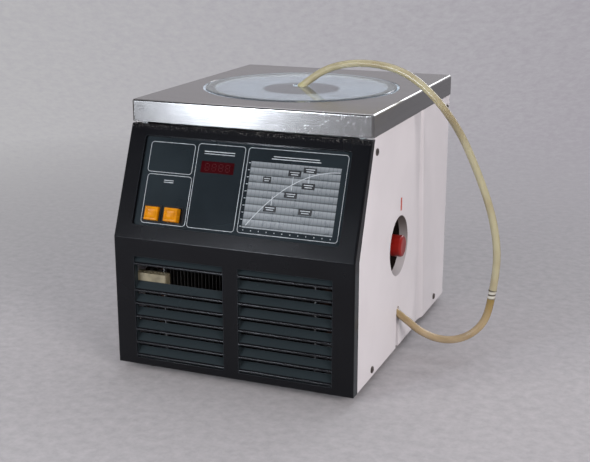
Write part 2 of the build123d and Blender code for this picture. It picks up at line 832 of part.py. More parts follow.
# ================================================================ ice chamber and lid
drain_x = 60.0
with BuildPart() as chamber_floor:
    with Locations((0, chamber_y, pot_bottom_z)):
        Cylinder(
            pot_radius + pot_wall,
            pot_floor,
            align=(Align.CENTER, Align.CENTER, Align.MIN),
        )
    with Locations((drain_x, chamber_y, pot_floor_z)):
        Hole(4.5, depth=pot_floor)
chamber_floor.part.label = "chamber_floor"
export_step(chamber_floor.part, "parts/chamber_floor.step")

# rolled wall of the cold trap, between its floor and its flange
with BuildPart() as chamber_wall:
    with Locations((0, chamber_y, pot_floor_z)):
        Cylinder(
            pot_radius + pot_wall,
            flange_bottom_z - pot_floor_z,
            align=(Align.CENTER, Align.CENTER, Align.MIN),
        )
        Cylinder(
            pot_radius,
            flange_bottom_z - pot_floor_z,
            align=(Align.CENTER, Align.CENTER, Align.MIN),
            mode=Mode.SUBTRACT,
        )
    port_plane = Plane(origin=(0, chamber_y, port_z), x_dir=(1, 0, 0), z_dir=(0, 1, 0))
    with BuildSketch(port_plane):
        Circle(port_outer)
    extrude(amount=pot_radius + pot_wall + 1, mode=Mode.SUBTRACT)
chamber_wall.part.label = "chamber_wall"
export_step(chamber_wall.part, "parts/chamber_wall.step")

with BuildPart() as chamber_flange:
    with Locations((0, chamber_y, flange_bottom_z)):
        Cylinder(
            flange_radius,
            deck_z - flange_bottom_z,
            align=(Align.CENTER, Align.CENTER, Align.MIN),
        )
    with Locations((0, chamber_y, deck_z - pot_wall)):
        Cylinder(lip_radius, pot_wall, align=(Align.CENTER, Align.CENTER, Align.MIN))
    with Locations((0, chamber_y, flange_top_z)):
        Cylinder(
            flange_radius - pot_wall,
            deck_z - flange_top_z,
            align=(Align.CENTER, Align.CENTER, Align.MIN),
            mode=Mode.SUBTRACT,
        )
    with Locations((0, chamber_y, flange_bottom_z)):
        Cylinder(
            mouth_radius,
            flange_thickness,
            align=(Align.CENTER, Align.CENTER, Align.MIN),
            mode=Mode.SUBTRACT,
        )
chamber_flange.part.label = "chamber_flange"
export_step(chamber_flange.part, "parts/chamber_flange.step")

with BuildPart() as mouth_trim:
    with Locations((0, chamber_y, flange_top_z - trim_height)):
        Cylinder(mouth_radius, trim_height, align=(Align.CENTER, Align.CENTER, Align.MIN))
        Cylinder(
            mouth_radius - trim_wall,
            trim_height,
            align=(Align.CENTER, Align.CENTER, Align.MIN),
            mode=Mode.SUBTRACT,
        )
mouth_trim.part.label = "mouth_trim"
export_step(mouth_trim.part, "parts/mouth_trim.step")

with BuildPart() as lid_gasket:
    with Locations((0, chamber_y, flange_top_z)):
        Cylinder(gasket_outer, gasket_thickness, align=(Align.CENTER, Align.CENTER, Align.MIN))
        Cylinder(
            gasket_inner,
            gasket_thickness,
            align=(Align.CENTER, Align.CENTER, Align.MIN),
            mode=Mode.SUBTRACT,
        )
lid_gasket.part.label = "lid_gasket"
export_step(lid_gasket.part, "parts/lid_gasket.step")

lid_edge_chamfer = 1.5
nipple_shank = 5.0
nipple_seat_radius = 14.0
nipple_seat_depth = 6.0
with BuildPart() as chamber_lid:
    with Locations((0, chamber_y, lid_bottom_z)):
        Cylinder(lid_radius, lid_thickness, align=(Align.CENTER, Align.CENTER, Align.MIN))
    chamfer(chamber_lid.edges().filter_by(GeomType.CIRCLE), lid_edge_chamfer)
    with Locations((0, chamber_y, lid_top_z)):
        CounterBoreHole(nipple_shank, nipple_seat_radius, nipple_seat_depth)
chamber_lid.part.label = "chamber_lid"
export_step(chamber_lid.part, "parts/chamber_lid.step")

nipple_elbow = Vector(0, chamber_y, lid_top_z - 1.5)
hose_end = Vector(*hose_upper_points[-1])
nipple_way = (hose_end - nipple_elbow).normalized()
nipple_seat_z = lid_top_z - nipple_seat_depth
with BuildPart() as lid_nipple:
    with Locations((0, chamber_y, lid_bottom_z)):
        Cylinder(
            nipple_shank,
            nipple_seat_z - lid_bottom_z,
            align=(Align.CENTER, Align.CENTER, Align.MIN),
        )
    with BuildSketch(Plane.XY.offset(nipple_seat_z)):
        with Locations((0, chamber_y)):
            RegularPolygon(11.0, 6)
    extrude(amount=2.5)
    with Locations(nipple_elbow):
        Sphere(6.5)
    with Locations((0, chamber_y, nipple_seat_z - 6)):
        Box(
            30,
            30,
            6,
            align=(Align.CENTER, Align.CENTER, Align.MIN),
            mode=Mode.SUBTRACT,
        )
    with Locations((0, chamber_y, lid_bottom_z)):
        Cylinder(
            nipple_shank,
            nipple_seat_z - lid_bottom_z,
            align=(Align.CENTER, Align.CENTER, Align.MIN),
        )
    with BuildSketch(Plane(origin=nipple_elbow, z_dir=nipple_way)):
        Circle(hose_radius)
    extrude(amount=(hose_end - nipple_elbow).length)
    with BuildSketch(Plane(origin=nipple_elbow, z_dir=nipple_way)):
        Circle(spigot_radius)
    extrude(amount=(hose_end - nipple_elbow).length + 12)
lid_nipple.part.label = "lid_nipple"
export_step(lid_nipple.part, "parts/lid_nipple.step")

with BuildPart() as chamber_insulation:
    insulation_low_z = pot_bottom_z - insulation_floor
    insulation_high_z = flange_bottom_z - 1
    with Locations((0, chamber_y, insulation_low_z)):
        Cylinder(
            insulation_radius,
            insulation_high_z - insulation_low_z,
            align=(Align.CENTER, Align.CENTER, Align.MIN),
        )
    with Locations((0, chamber_y, pot_bottom_z)):
        Cylinder(
            coil_radius + coil_tube + 0.6,
            insulation_high_z - pot_bottom_z,
            align=(Align.CENTER, Align.CENTER, Align.MIN),
            mode=Mode.SUBTRACT,
        )
    with BuildSketch(port_plane):
        Circle(port_outer + 0.5)
    extrude(amount=insulation_radius + 1, mode=Mode.SUBTRACT)
    with Locations((drain_x, chamber_y, pot_bottom_z)):
        Hole(8.0, depth=insulation_floor)
    with Locations((0, chamber_y - coil_radius, pot_bottom_z), (-coil_radius, chamber_y, pot_bottom_z)):
        Hole(coil_tube + 0.4, depth=insulation_floor)
chamber_insulation.part.label = "chamber_insulation"
export_step(chamber_insulation.part, "parts/chamber_insulation.step")

coil_rings = 8
coil_pitch = 15.0
coil_low_z = pot_bottom_z + 12
coil_tail_z = insulation_low_z - 4
with BuildPart() as evaporator_coil:
    for ring in range(coil_rings):
        with Locations((0, chamber_y, coil_low_z + ring * coil_pitch)):
            Torus(coil_radius, coil_tube)
    header_height = coil_low_z + (coil_rings - 1) * coil_pitch - coil_tail_z
    with Locations((0, chamber_y - coil_radius, coil_tail_z), (-coil_radius, chamber_y, coil_tail_z)):
        Cylinder(
            coil_tube - 0.3,
            header_height,
            align=(Align.CENTER, Align.CENTER, Align.MIN),
        )
evaporator_coil.part.label = "evaporator_coil"
export_step(evaporator_coil.part, "parts/evaporator_coil.step")

with BuildPart() as vacuum_port:
    port_start = pot_radius
    port_length = rear_y - chamber_y - port_start
    with BuildSketch(port_plane.offset(port_start)):
        Circle(port_outer)
    extrude(amount=port_length)
    with BuildSketch(port_plane.offset(port_start + port_length - 3)):
        Circle(20.0)
    extrude(amount=3)
    with BuildSketch(port_plane.offset(port_start)):
        Circle(port_bore)
    extrude(amount=port_length, mode=Mode.SUBTRACT)
vacuum_port.part.label = "vacuum_port"
export_step(vacuum_port.part, "parts/vacuum_port.step")

# ================================================================ drain valve and hose
valve_plane = Plane(origin=(0, valve_y, valve_z), x_dir=(0, 1, 0), z_dir=(1, 0, 0))
with BuildPart() as valve_well:
    with BuildSketch(valve_plane.offset(well_floor_x)):
        Circle(access_radius + well_wall)
    extrude(amount=well_depth)
    with BuildSketch(valve_plane.offset(frame_x - well_wall)):
        Circle(collar_radius + 8)
    extrude(amount=well_wall)
    with BuildSketch(valve_plane.offset(well_floor_x + well_wall)):
        Circle(access_radius)
    extrude(amount=well_depth, mode=Mode.SUBTRACT)
    with BuildSketch(valve_plane.offset(well_floor_x)):
        Circle(spindle_radius + 0.5)
    extrude(amount=well_depth, mode=Mode.SUBTRACT)
valve_well.part.label = "valve_well"
export_step(valve_well.part, "parts/valve_well.step")

valve_half = 16.0
valve_body_radius = 12.0
with BuildPart() as drain_valve:
    with BuildSketch(valve_plane.offset(valve_x - valve_half)):
        Circle(valve_body_radius)
    extrude(amount=well_floor_x - valve_x + valve_half)
    with BuildSketch(Plane(origin=(valve_x, valve_y, valve_z), z_dir=(0, 1, 0))):
        Circle(8.0)
    extrude(amount=25.6)
    with BuildSketch(Plane(origin=(valve_x, valve_y, valve_z), z_dir=(0, 0, -1))):
        Circle(8.0)
    extrude(amount=26.0)
    with BuildSketch(valve_plane.offset(valve_x - valve_half + 3)):
        Circle(plug_radius + running_clearance)
    extrude(amount=well_floor_x - valve_x + valve_half, mode=Mode.SUBTRACT)
    with BuildSketch(Plane(origin=(valve_x, valve_y, valve_z), z_dir=(0, 1, 0))):
        Circle(spigot_radius)
    extrude(amount=30, mode=Mode.SUBTRACT)
    with BuildSketch(Plane(origin=(valve_x, valve_y, valve_z), z_dir=(0, 0, -1))):
        Circle(spigot_radius + 0.02)
    extrude(amount=30, mode=Mode.SUBTRACT)
drain_valve.part.label = "drain_valve"
export_step(drain_valve.part, "parts/drain_valve.step")

knob_face_x = skin_x + knob_proud
knob_back_x = knob_face_x - knob_length
knob_hub_x = knob_face_x - 11.0  # blind end of the spindle's hole
with BuildPart() as valve_spindle:
    with BuildSketch(valve_plane.offset(valve_x - valve_half + 4)):
        Circle(plug_radius)
    extrude(amount=2 * valve_half - 5)
    with BuildSketch(valve_plane.offset(valve_x)):
        Circle(spindle_radius)
    extrude(amount=knob_hub_x - fit_gap - valve_x)
    with BuildSketch(Plane(origin=(valve_x, valve_y, valve_z), z_dir=(0, 0, -1))):
        Circle(3.0)
    extrude(amount=plug_radius + 1, mode=Mode.SUBTRACT)
    with BuildSketch(Plane(origin=(valve_x, valve_y, valve_z), z_dir=(0, -1, 0))):
        Circle(3.0)
    extrude(amount=plug_radius + 1, mode=Mode.SUBTRACT)
valve_spindle.part.label = "valve_spindle"
export_step(valve_spindle.part, "parts/valve_spindle.step")

with BuildPart() as drain_knob:
    with BuildSketch(valve_plane.offset(knob_face_x)):
        Circle(knob_radius)
    extrude(amount=-knob_grip)
    fillet(drain_knob.faces().sort_by(Axis.X)[-1].edges(), knob_front_round)
    with BuildSketch(valve_plane.offset(knob_back_x)):
        Circle(knob_boss_radius)
    extrude(amount=knob_length - knob_grip / 2)
    with BuildSketch(valve_plane.offset(knob_back_x)):
        Circle(spindle_radius + running_clearance)
    extrude(amount=knob_hub_x - knob_back_x, mode=Mode.SUBTRACT)
drain_knob.part.label = "drain_knob"
export_step(drain_knob.part, "parts/drain_knob.step")

drain_pipe = bent_tube(
    [
        (drain_x, chamber_y, pot_bottom_z),
        (drain_x, chamber_y, valve_z),
        (valve_x, chamber_y, valve_z),
        (valve_x, valve_y + 25.6, valve_z),
    ],
    20.0,
    6.0,
    4.5,
)
drain_pipe.part.label = "drain_pipe"
export_step(drain_pipe.part, "parts/drain_pipe.step")

spigot_in_hose = 12.0
hose_start = Vector(*hose_lower_points[0])
hose_way = (Vector(*hose_lower_points[1]) - hose_start).normalized()
outlet_corner = hose_start - hose_way * ((hose_start.X - valve_x) / hose_way.X)
outlet_end = hose_start + hose_way * spigot_in_hose
outlet_pipe = bent_tube(
    [
        (valve_x, valve_y, valve_z - 20.0),
        (valve_x, valve_y, outlet_corner.Z),
        (outlet_end.X, outlet_end.Y, outlet_end.Z),
    ],
    12.0,
    spigot_radius,
    spigot_bore,
)
outlet_pipe.part.label = "outlet_pipe"
export_step(outlet_pipe.part, "parts/outlet_pipe.step")

hose_section = math.pi * (hose_radius**2 - hose_bore**2)
for name, points in (("hose_lower", hose_lower_points), ("hose_upper", hose_upper_points)):
    radii = bend_radii(points)
    hose = bent_tube(points, radii, hose_radius, hose_bore)
    hose.part.label = name
    export_step(hose.part, f"parts/{name}.step")
    with BuildLine() as hose_route:
        FilletPolyline(*points, radius=radii)
    hose_length = hose_route.wire().length
    print(name, "length", round(hose_length, 1), "radii", [round(radius) for radius in radii])
    print(name, "volume over section times length", hose.part.volume / (hose_section * hose_length))

joiner_low = Vector(*hose_lower_points[-1])
joiner_high = Vector(*hose_upper_points[0])
joiner_way = (joiner_high - joiner_low).normalized()
joiner_spigot = 10.0
with BuildPart() as hose_joiner:
    with BuildSketch(Plane(origin=joiner_low, z_dir=joiner_way)):
        Circle(hose_radius + 0.6)
    extrude(amount=(joiner_high - joiner_low).length)
    with BuildSketch(Plane(origin=joiner_low - joiner_way * joiner_spigot, z_dir=joiner_way)):
        Circle(spigot_radius)
    extrude(amount=(joiner_high - joiner_low).length + 2 * joiner_spigot)
    with BuildSketch(Plane(origin=joiner_low - joiner_way * joiner_spigot, z_dir=joiner_way)):
        Circle(spigot_bore)
    extrude(amount=(joiner_high - joiner_low).length + 2 * joiner_spigot, mode=Mode.SUBTRACT)
hose_joiner.part.label = "hose_joiner"
export_step(hose_joiner.part, "parts/hose_joiner.step")

# ================================================================ condenser and fan
fin_pitch = 6.0
fin_thickness = 0.6
fin_count = 41
tube_count = 6
tube_end_x = condenser_half + 11.0
tube_turn_x = condenser_half + 6.0
end_plate = 1.5
condenser_mid_z = (condenser_low_z + condenser_high_z) / 2
condenser_height = condenser_high_z - condenser_low_z
tube_levels = [tube_low_z + index * tube_pitch for index in range(tube_count)]

with BuildPart() as condenser_fins:
    with BuildSketch(Plane.YZ.offset(-(fin_count - 1) / 2 * fin_pitch)):
        with Locations((condenser_y, condenser_mid_z)):
            Rectangle(condenser_depth, condenser_height)
        with Locations(*[(condenser_y, level) for level in tube_levels]):
            Circle(tube_radius + running_clearance, mode=Mode.SUBTRACT)
    one_fin = extrude(amount=fin_thickness)
    for index in range(1, fin_count):
        add(one_fin.moved(Location((index * fin_pitch, 0, 0))))
condenser_fins.part.label = "condenser_fins"
export_step(condenser_fins.part, "parts/condenser_fins.step")

tube_route = [(-tube_end_x, condenser_y, tube_levels[0])]
for index, level in enumerate(tube_levels[:-1]):
    turn_x = tube_turn_x + tube_pitch / 2 if index % 2 == 0 else -tube_turn_x - tube_pitch / 2
    tube_route.append((turn_x, condenser_y, level))
    tube_route.append((turn_x, condenser_y, level + tube_pitch))
tube_route.append((-tube_end_x, condenser_y, tube_levels[-1]))
condenser_tubes = bent_tube(tube_route, tube_pitch / 2 - 0.1, tube_radius)
condenser_tubes.part.label = "condenser_tubes"
export_step(condenser_tubes.part, "parts/condenser_tubes.step")

with BuildPart() as condenser_end_plates:
    for side in (-1, 1):
        with BuildSketch(Plane.YZ.offset(side * (condenser_half - end_plate))):
            with Locations((condenser_y, (frame_low_z + condenser_high_z) / 2)):
                Rectangle(condenser_depth, condenser_high_z - frame_low_z)
            with Locations(*[(condenser_y, level) for level in tube_levels]):
                Circle(tube_radius + running_clearance, mode=Mode.SUBTRACT)
        extrude(amount=side * end_plate)
condenser_end_plates.part.label = "condenser_end_plates"
export_step(condenser_end_plates.part, "parts/condenser_end_plates.step")

shroud_y = condenser_y + condenser_depth / 2 + fit_gap
shroud_ring = fan_radius + 3.0
shroud_plane = Plane(origin=(0, shroud_y, 0), x_dir=(-1, 0, 0), z_dir=(0, 1, 0))
fan_start_y = shroud_y + 4.0
bracket_y = shroud_y + 40.0
bracket_x = 84.0
with BuildPart() as fan_shroud:
    with BuildSketch(shroud_plane):
        with Locations((0, (frame_low_z + condenser_high_z) / 2)):
            Rectangle(2 * condenser_half, condenser_high_z - frame_low_z)
    extrude(amount=end_plate)
    with BuildSketch(shroud_plane):
        with Locations((0, fan_z)):
            Circle(shroud_ring + end_plate)
    extrude(amount=20.0)
    with BuildSketch(shroud_plane):
        with Locations((0, fan_z)):
            Circle(shroud_ring)
    extrude(amount=20.0, mode=Mode.SUBTRACT)
fan_shroud.part.label = "fan_shroud"
export_step(fan_shroud.part, "parts/fan_shroud.step")

bracket_height = 30.0
with BuildPart() as motor_bracket:
    with BuildSketch(Plane.XY.offset(fan_z - bracket_height / 2)):
        with Locations((0, bracket_y - sheet / 2)):
            Rectangle(2 * bracket_x, sheet)
        for side in (-1, 1):
            foot_y = shroud_y + end_plate
            with Locations((side * (bracket_x - sheet / 2), (foot_y + bracket_y) / 2)):
                Rectangle(sheet, bracket_y - foot_y)
            with Locations((side * (bracket_x + 8), foot_y + sheet / 2)):
                Rectangle(20, sheet)
    extrude(amount=bracket_height)
    with BuildSketch(shroud_plane.offset(30)):
        with Locations((0, fan_z)):
            Circle(8.0)
    extrude(amount=20, mode=Mode.SUBTRACT)
motor_bracket.part.label = "motor_bracket"
export_step(motor_bracket.part, "parts/motor_bracket.step")

shaft_radius = 3.0
motor_length = 45.0
motor_plane = Plane(origin=(0, bracket_y, fan_z), x_dir=(-1, 0, 0), z_dir=(0, 1, 0))
with BuildPart() as fan_motor:
    with BuildSketch(motor_plane):
        Circle(30.0)
    extrude(amount=motor_length)
    fillet(fan_motor.edges().filter_by(GeomType.CIRCLE), 3.0)
    with BuildSketch(motor_plane):
        Circle(shaft_radius + running_clearance)
    extrude(amount=motor_length - 6, mode=Mode.SUBTRACT)
fan_motor.part.label = "fan_motor"
export_step(fan_motor.part, "parts/fan_motor.step")

with BuildPart() as motor_shaft:
    with BuildSketch(motor_plane.offset(-(bracket_y - fan_start_y) - 1)):
        Circle(shaft_radius)
    extrude(amount=bracket_y - fan_start_y + 1 + motor_length - 10)
motor_shaft.part.label = "motor_shaft"
export_step(motor_shaft.part, "parts/motor_shaft.step")

fan_blades = 5
fan_width = 18.0
fan_plane = motor_plane.offset(-(bracket_y - fan_start_y))
with BuildPart() as fan_rotor:
    with BuildSketch(fan_plane):
        Circle(16.0)
    extrude(amount=fan_width)
    for index in range(fan_blades):
        angle = index * 360 / fan_blades
        blade_frame = Plane(
            origin=(0, fan_start_y + fan_width / 2, fan_z),
            x_dir=(0, 1, 0),
            z_dir=(math.sin(math.radians(angle)), 0, math.cos(math.radians(angle))),
        )
        with BuildSketch(blade_frame.offset(14.0)):
            Rectangle(2.0, 18.0, rotation=-50)
        with BuildSketch(blade_frame.offset(fan_radius - 3)):
            Rectangle(2.0, 30.0, rotation=-28)
        loft()
    with BuildSketch(fan_plane):
        Circle(shaft_radius + running_clearance)
    extrude(amount=fan_width, mode=Mode.SUBTRACT)
fan_rotor.part.label = "fan_rotor"
export_step(fan_rotor.part, "parts/fan_rotor.step")

# ================================================================ compressor and lines
suction_stub_z = 110.0
discharge_stub_z = 70.0
with BuildPart() as compressor:
    with BuildSketch(Plane(origin=(compressor_x, compressor_y, 0), x_dir=(1, 0, 0), z_dir=(0, -1, 0))):
        with BuildLine():
            Polyline(
                (0, compressor_base_z + 3),
                (60, compressor_base_z + 3),
                (compressor_radius, compressor_base_z + 18),
                (compressor_radius, compressor_base_z + 72),
                (compressor_radius + 3, compressor_base_z + 72),
                (compressor_radius + 3, compressor_base_z + 76),
                (compressor_radius, compressor_base_z + 76),
                (compressor_radius, compressor_base_z + 118),
                (54, compressor_base_z + 143),
                (0, compressor_base_z + 150),
                close=True,
            )
        make_face()
    revolve(axis=Axis((compressor_x, compressor_y, 0), (0, 0, 1)))
    with BuildSketch(Plane.XY.offset(compressor_base_z)):
        with Locations((compressor_x, compressor_y)):
            RectangleRounded(compressor_mounts[0] + 24, compressor_mounts[1] + 24, 8)
            with GridLocations(*compressor_mounts, 2, 2):
                Circle(bolt_radius + 0.2, mode=Mode.SUBTRACT)
    extrude(amount=3.0)
    with BuildSketch(Plane(origin=(compressor_x, compressor_y, suction_stub_z), z_dir=(0, -1, 0))):
        Circle(5.0)
    extrude(amount=compressor_radius + 20)
    with BuildSketch(Plane(origin=(compressor_x, compressor_y, discharge_stub_z), z_dir=(-1, 0, 0))):
        Circle(4.0)
    extrude(amount=compressor_radius + 9)
compressor.part.label = "compressor"
export_step(compressor.part, "parts/compressor.step")

with BuildPart() as compressor_grommets:
    with BuildSketch(Plane.XY.offset(frame_low_z)):
        with Locations((compressor_x, compressor_y)):
            with GridLocations(*compressor_mounts, 2, 2):
                Circle(11.0)
                Circle(bolt_radius + 0.2, mode=Mode.SUBTRACT)
    extrude(amount=compressor_base_z - frame_low_z)
compressor_grommets.part.label = "compressor_grommets"
export_step(compressor_grommets.part, "parts/compressor_grommets.step")

drier_start_y = behind_tray(60.0)
drier_length = 100.0
drier_z = tube_levels[0]
drier_radius = 9.0
with BuildPart() as filter_drier:
    with BuildSketch(Plane.XY.offset(drier_z)):
        with BuildLine():
            Polyline(
                (left_pipe_x, drier_start_y),
                (left_pipe_x + 4, drier_start_y),
                (left_pipe_x + drier_radius, drier_start_y + 12),
                (left_pipe_x + drier_radius, drier_start_y + drier_length - 12),
                (left_pipe_x + 4, drier_start_y + drier_length),
                (left_pipe_x, drier_start_y + drier_length),
                close=True,
            )
        make_face()
    revolve(axis=Axis((left_pipe_x, 0, drier_z), (0, 1, 0)))
filter_drier.part.label = "filter_drier"
export_step(filter_drier.part, "parts/filter_drier.step")

suction_line = bent_tube(
    [
        (0, chamber_y - coil_radius, coil_tail_z),
        (0, chamber_y - coil_radius, 150.0),
        (compressor_x, behind_tray(150.0), suction_stub_z),
        (compressor_x, compressor_y - compressor_radius - 20, suction_stub_z),
    ],
    20.0,
    3.6,
)
suction_line.part.label = "suction_line"
export_step(suction_line.part, "parts/suction_line.step")

discharge_line = bent_tube(
    [
        (compressor_x - compressor_radius - 9, compressor_y, discharge_stub_z),
        (discharge_x, compressor_y, discharge_stub_z),
        (discharge_x, condenser_y, discharge_stub_z),
        (discharge_x, condenser_y, tube_levels[-1]),
        (-tube_end_x, condenser_y, tube_levels[-1]),
    ],
    12.0,
    3.0,
)
discharge_line.part.label = "discharge_line"
export_step(discharge_line.part, "parts/discharge_line.step")

liquid_line = bent_tube(
    [
        (-tube_end_x, condenser_y, tube_levels[0]),
        (left_pipe_x, condenser_y, tube_levels[0]),
        (left_pipe_x, drier_start_y, tube_levels[0]),
    ],
    10.0,
    3.0,
)
liquid_line.part.label = "liquid_line"
export_step(liquid_line.part, "parts/liquid_line.step")

capillary_tube = bent_tube(
    [
        (left_pipe_x, drier_start_y + drier_length, drier_z),
        (left_pipe_x, chamber_y, drier_z),
        (left_pipe_x, chamber_y, 178.0),
        (-coil_radius, chamber_y, 178.0),
        (-coil_radius, chamber_y, coil_tail_z),
    ],
    10.0,
    1.5,
)
capillary_tube.part.label = "capillary_tube"
export_step(capillary_tube.part, "parts/capillary_tube.step")

# ================================================================ electrics
block_y = front_y + blade_depth + 1.0
block_depth = condenser_y - condenser_depth / 2 - block_y - fit_gap
block_x = -140.0
block_width = 52.0
block_height = 18.0
block_top_z = body_base_z + 146.5
with BuildPart() as terminal_block:
    with Locations((block_x, block_y + block_depth / 2, block_top_z - block_height / 2)):
        Box(block_width, block_depth, block_height)
    with BuildSketch(Plane.XY.offset(block_top_z)):
        with Locations((block_x, block_y + block_depth / 2)):
            with GridLocations(8.4, 0, 6, 1):
                Circle(2.4)
    extrude(amount=-6, mode=Mode.SUBTRACT)
terminal_block.part.label = "terminal_block"
export_step(terminal_block.part, "parts/terminal_block.step")

plate_y = behind_tray(42.0)
plate_drop = 170.0
plate_high_z = panel_top_z + 3.5
plate_low_z = plate_high_z - plate_drop
plate_sheet = 1.5
with BuildPart() as electronics_plate:
    plate_front_y = behind_tray(12.0)
    with BuildSketch(Plane.XY.offset(plate_low_z)):
        with Locations((0, plate_y + plate_sheet / 2)):
            Rectangle(2 * (frame_x - sheet), plate_sheet)
        for side in (-1, 1):
            with Locations((side * (frame_x - sheet - plate_sheet / 2), (plate_front_y + plate_y) / 2)):
                Rectangle(plate_sheet, plate_y - plate_front_y)
    extrude(amount=plate_high_z - plate_low_z)
    for side in (-1, 1):
        with BuildSketch(Plane.YZ.offset(side * (frame_x - sheet - plate_sheet))):
            with Locations(*panel_screw_spots):
                Circle(screw_hole)
        extrude(amount=side * plate_sheet, mode=Mode.SUBTRACT)
electronics_plate.part.label = "electronics_plate"
export_step(electronics_plate.part, "parts/electronics_plate.step")

board_standoff = 7.0
with BuildPart() as control_board:
    board_face = Plane(origin=(0, plate_y, 0), x_dir=(1, 0, 0), z_dir=(0, -1, 0))
    with BuildSketch(board_face.offset(board_standoff)):
        with Locations((50, 300)):
            Rectangle(190, 100)
    extrude(amount=board_thickness)
    with BuildSketch(board_face):
        with Locations((50, 300)):
            with GridLocations(178, 88, 2, 2):
                Circle(3.0)
    extrude(amount=board_standoff)
    with BuildSketch(board_face.offset(board_standoff + board_thickness)):
        with Locations((50, 325)):
            with GridLocations(40, 0, 3, 1):
                Rectangle(28, 16)
        with Locations((20, 280), (110, 280)):
            Rectangle(36, 14)
    extrude(amount=14)
control_board.part.label = "control_board"
export_step(control_board.part, "parts/control_board.step")

with BuildPart() as transformer:
    with Locations((-110.0, plate_y - 22.0, 285.0)):
        Box(66, 44, 56)
    with Locations((-110.0, plate_y - 22.0, 285.0)):
        Box(44, 44, 76)
transformer.part.label = "transformer"
export_step(transformer.part, "parts/transformer.step")

print("valve axis", (valve_x, round(valve_y, 3), round(valve_z, 3)))
print("fan axis", (0, round(fan_start_y, 3), round(fan_z, 3)))
print("button axis into the panel", tuple(round(-c, 6) for c in slope_out))
print("control panel origin", control_plane.origin, "up", slope_up)
print("port", (0, round(rear_y, 3), round(port_z, 3)), "inlet", (inlet_x, rear_face_y, inlet_z))
print("levels", dict(flange=flange_top_z, pot_floor=pot_floor_z, lid_top=lid_top_z))
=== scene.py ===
"""Looks of a bench-top freeze dryer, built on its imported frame.

Everything is in metres in the machine's own frame: +Z up, -Y towards the control panel,
+X to the side with the drain knob and the hose.
"""

import logging
from collections.abc import Callable, Sequence
from dataclasses import dataclass
from enum import Enum
from math import radians
from typing import Any

import bmesh
import bpy
import numpy as np
from mathutils import Euler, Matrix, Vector


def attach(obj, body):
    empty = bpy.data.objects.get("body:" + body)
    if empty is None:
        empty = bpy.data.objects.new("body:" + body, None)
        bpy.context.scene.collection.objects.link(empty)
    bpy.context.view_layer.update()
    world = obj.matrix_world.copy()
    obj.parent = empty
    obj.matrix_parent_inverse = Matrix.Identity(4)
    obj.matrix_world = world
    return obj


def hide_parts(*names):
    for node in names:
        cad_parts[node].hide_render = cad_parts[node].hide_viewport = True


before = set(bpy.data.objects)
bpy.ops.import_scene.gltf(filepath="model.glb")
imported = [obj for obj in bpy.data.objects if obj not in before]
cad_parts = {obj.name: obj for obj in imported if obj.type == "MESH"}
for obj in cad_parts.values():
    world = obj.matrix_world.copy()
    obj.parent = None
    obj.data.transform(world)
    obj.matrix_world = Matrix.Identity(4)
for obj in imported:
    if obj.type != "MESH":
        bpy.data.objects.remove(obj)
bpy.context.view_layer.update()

LOG = logging.getLogger("freeze_dryer")
MM = 0.001

Material = bpy.types.Material
Node = bpy.types.Node
NodeTree = bpy.types.NodeTree
Object = bpy.types.Object
Socket = bpy.types.NodeSocket
Point = tuple[float, float, float]
Pair = tuple[float, float]
Quad = tuple[float, float, float, float]


# ---------------------------------------------------------------- colour and nodes
def linear(code: str) -> Quad:
    """Turns an sRGB hex colour into the linear colour that shaders take.

    Args:
        code: six hex digits, with or without a hash.

    Returns:
        Red, green, blue and an alpha of one.
    """
    value = np.array([int(code.lstrip("#")[i : i + 2], 16) for i in (0, 2, 4)]) / 255
    line = np.where(value <= 0.04045, value / 12.92, ((value + 0.055) / 1.055) ** 2.4)
    return (float(line[0]), float(line[1]), float(line[2]), 1.0)


def add_node(tree: NodeTree, kind: str, *values: Any, **settings: Any) -> Node:
    """Adds one node with its settings and its links.

    A value is a number, a vector, a hex colour, the socket that feeds the input, or a node,
    whose first live output feeds it.

    Args:
        tree: the tree that takes the node.
        kind: the node's type, without the ShaderNode at its start.
        *values: the values of the live inputs in order, or one dictionary of them by name.
        **settings: the node's own properties, and the places and colours of a ramp's stops.

    Returns:
        The node.
    """
    node = tree.nodes.new(f"ShaderNode{kind}")
    stops = settings.pop("stops", ())
    for key, value in settings.items():
        setattr(node, key, value)
    elements = node.color_ramp.elements if stops else ()
    while len(elements) < len(stops):
        elements.new(0.5)
    for element, (place, code) in zip(elements, stops):
        element.position, element.color = place, linear(code)
    if values and isinstance(values[0], dict):
        pairs = [(node.inputs[key], value) for key, value in values[0].items()]
    else:
        pairs = list(zip([socket for socket in node.inputs if socket.enabled], values))
    for socket, value in pairs:
        if isinstance(value, Node):
            value = next(output for output in value.outputs if output.enabled)
        if isinstance(value, Socket):
            tree.links.new(value, socket)
        else:
            socket.default_value = linear(value) if isinstance(value, str) else value
    return node


def blank(name: str) -> tuple[Material, NodeTree]:
    """Makes an empty node material.

    Args:
        name: the material's name.

    Returns:
        The material and its tree.
    """
    material = bpy.data.materials.new(name)
    material.use_nodes = True
    material.node_tree.nodes.clear()
    return material, material.node_tree


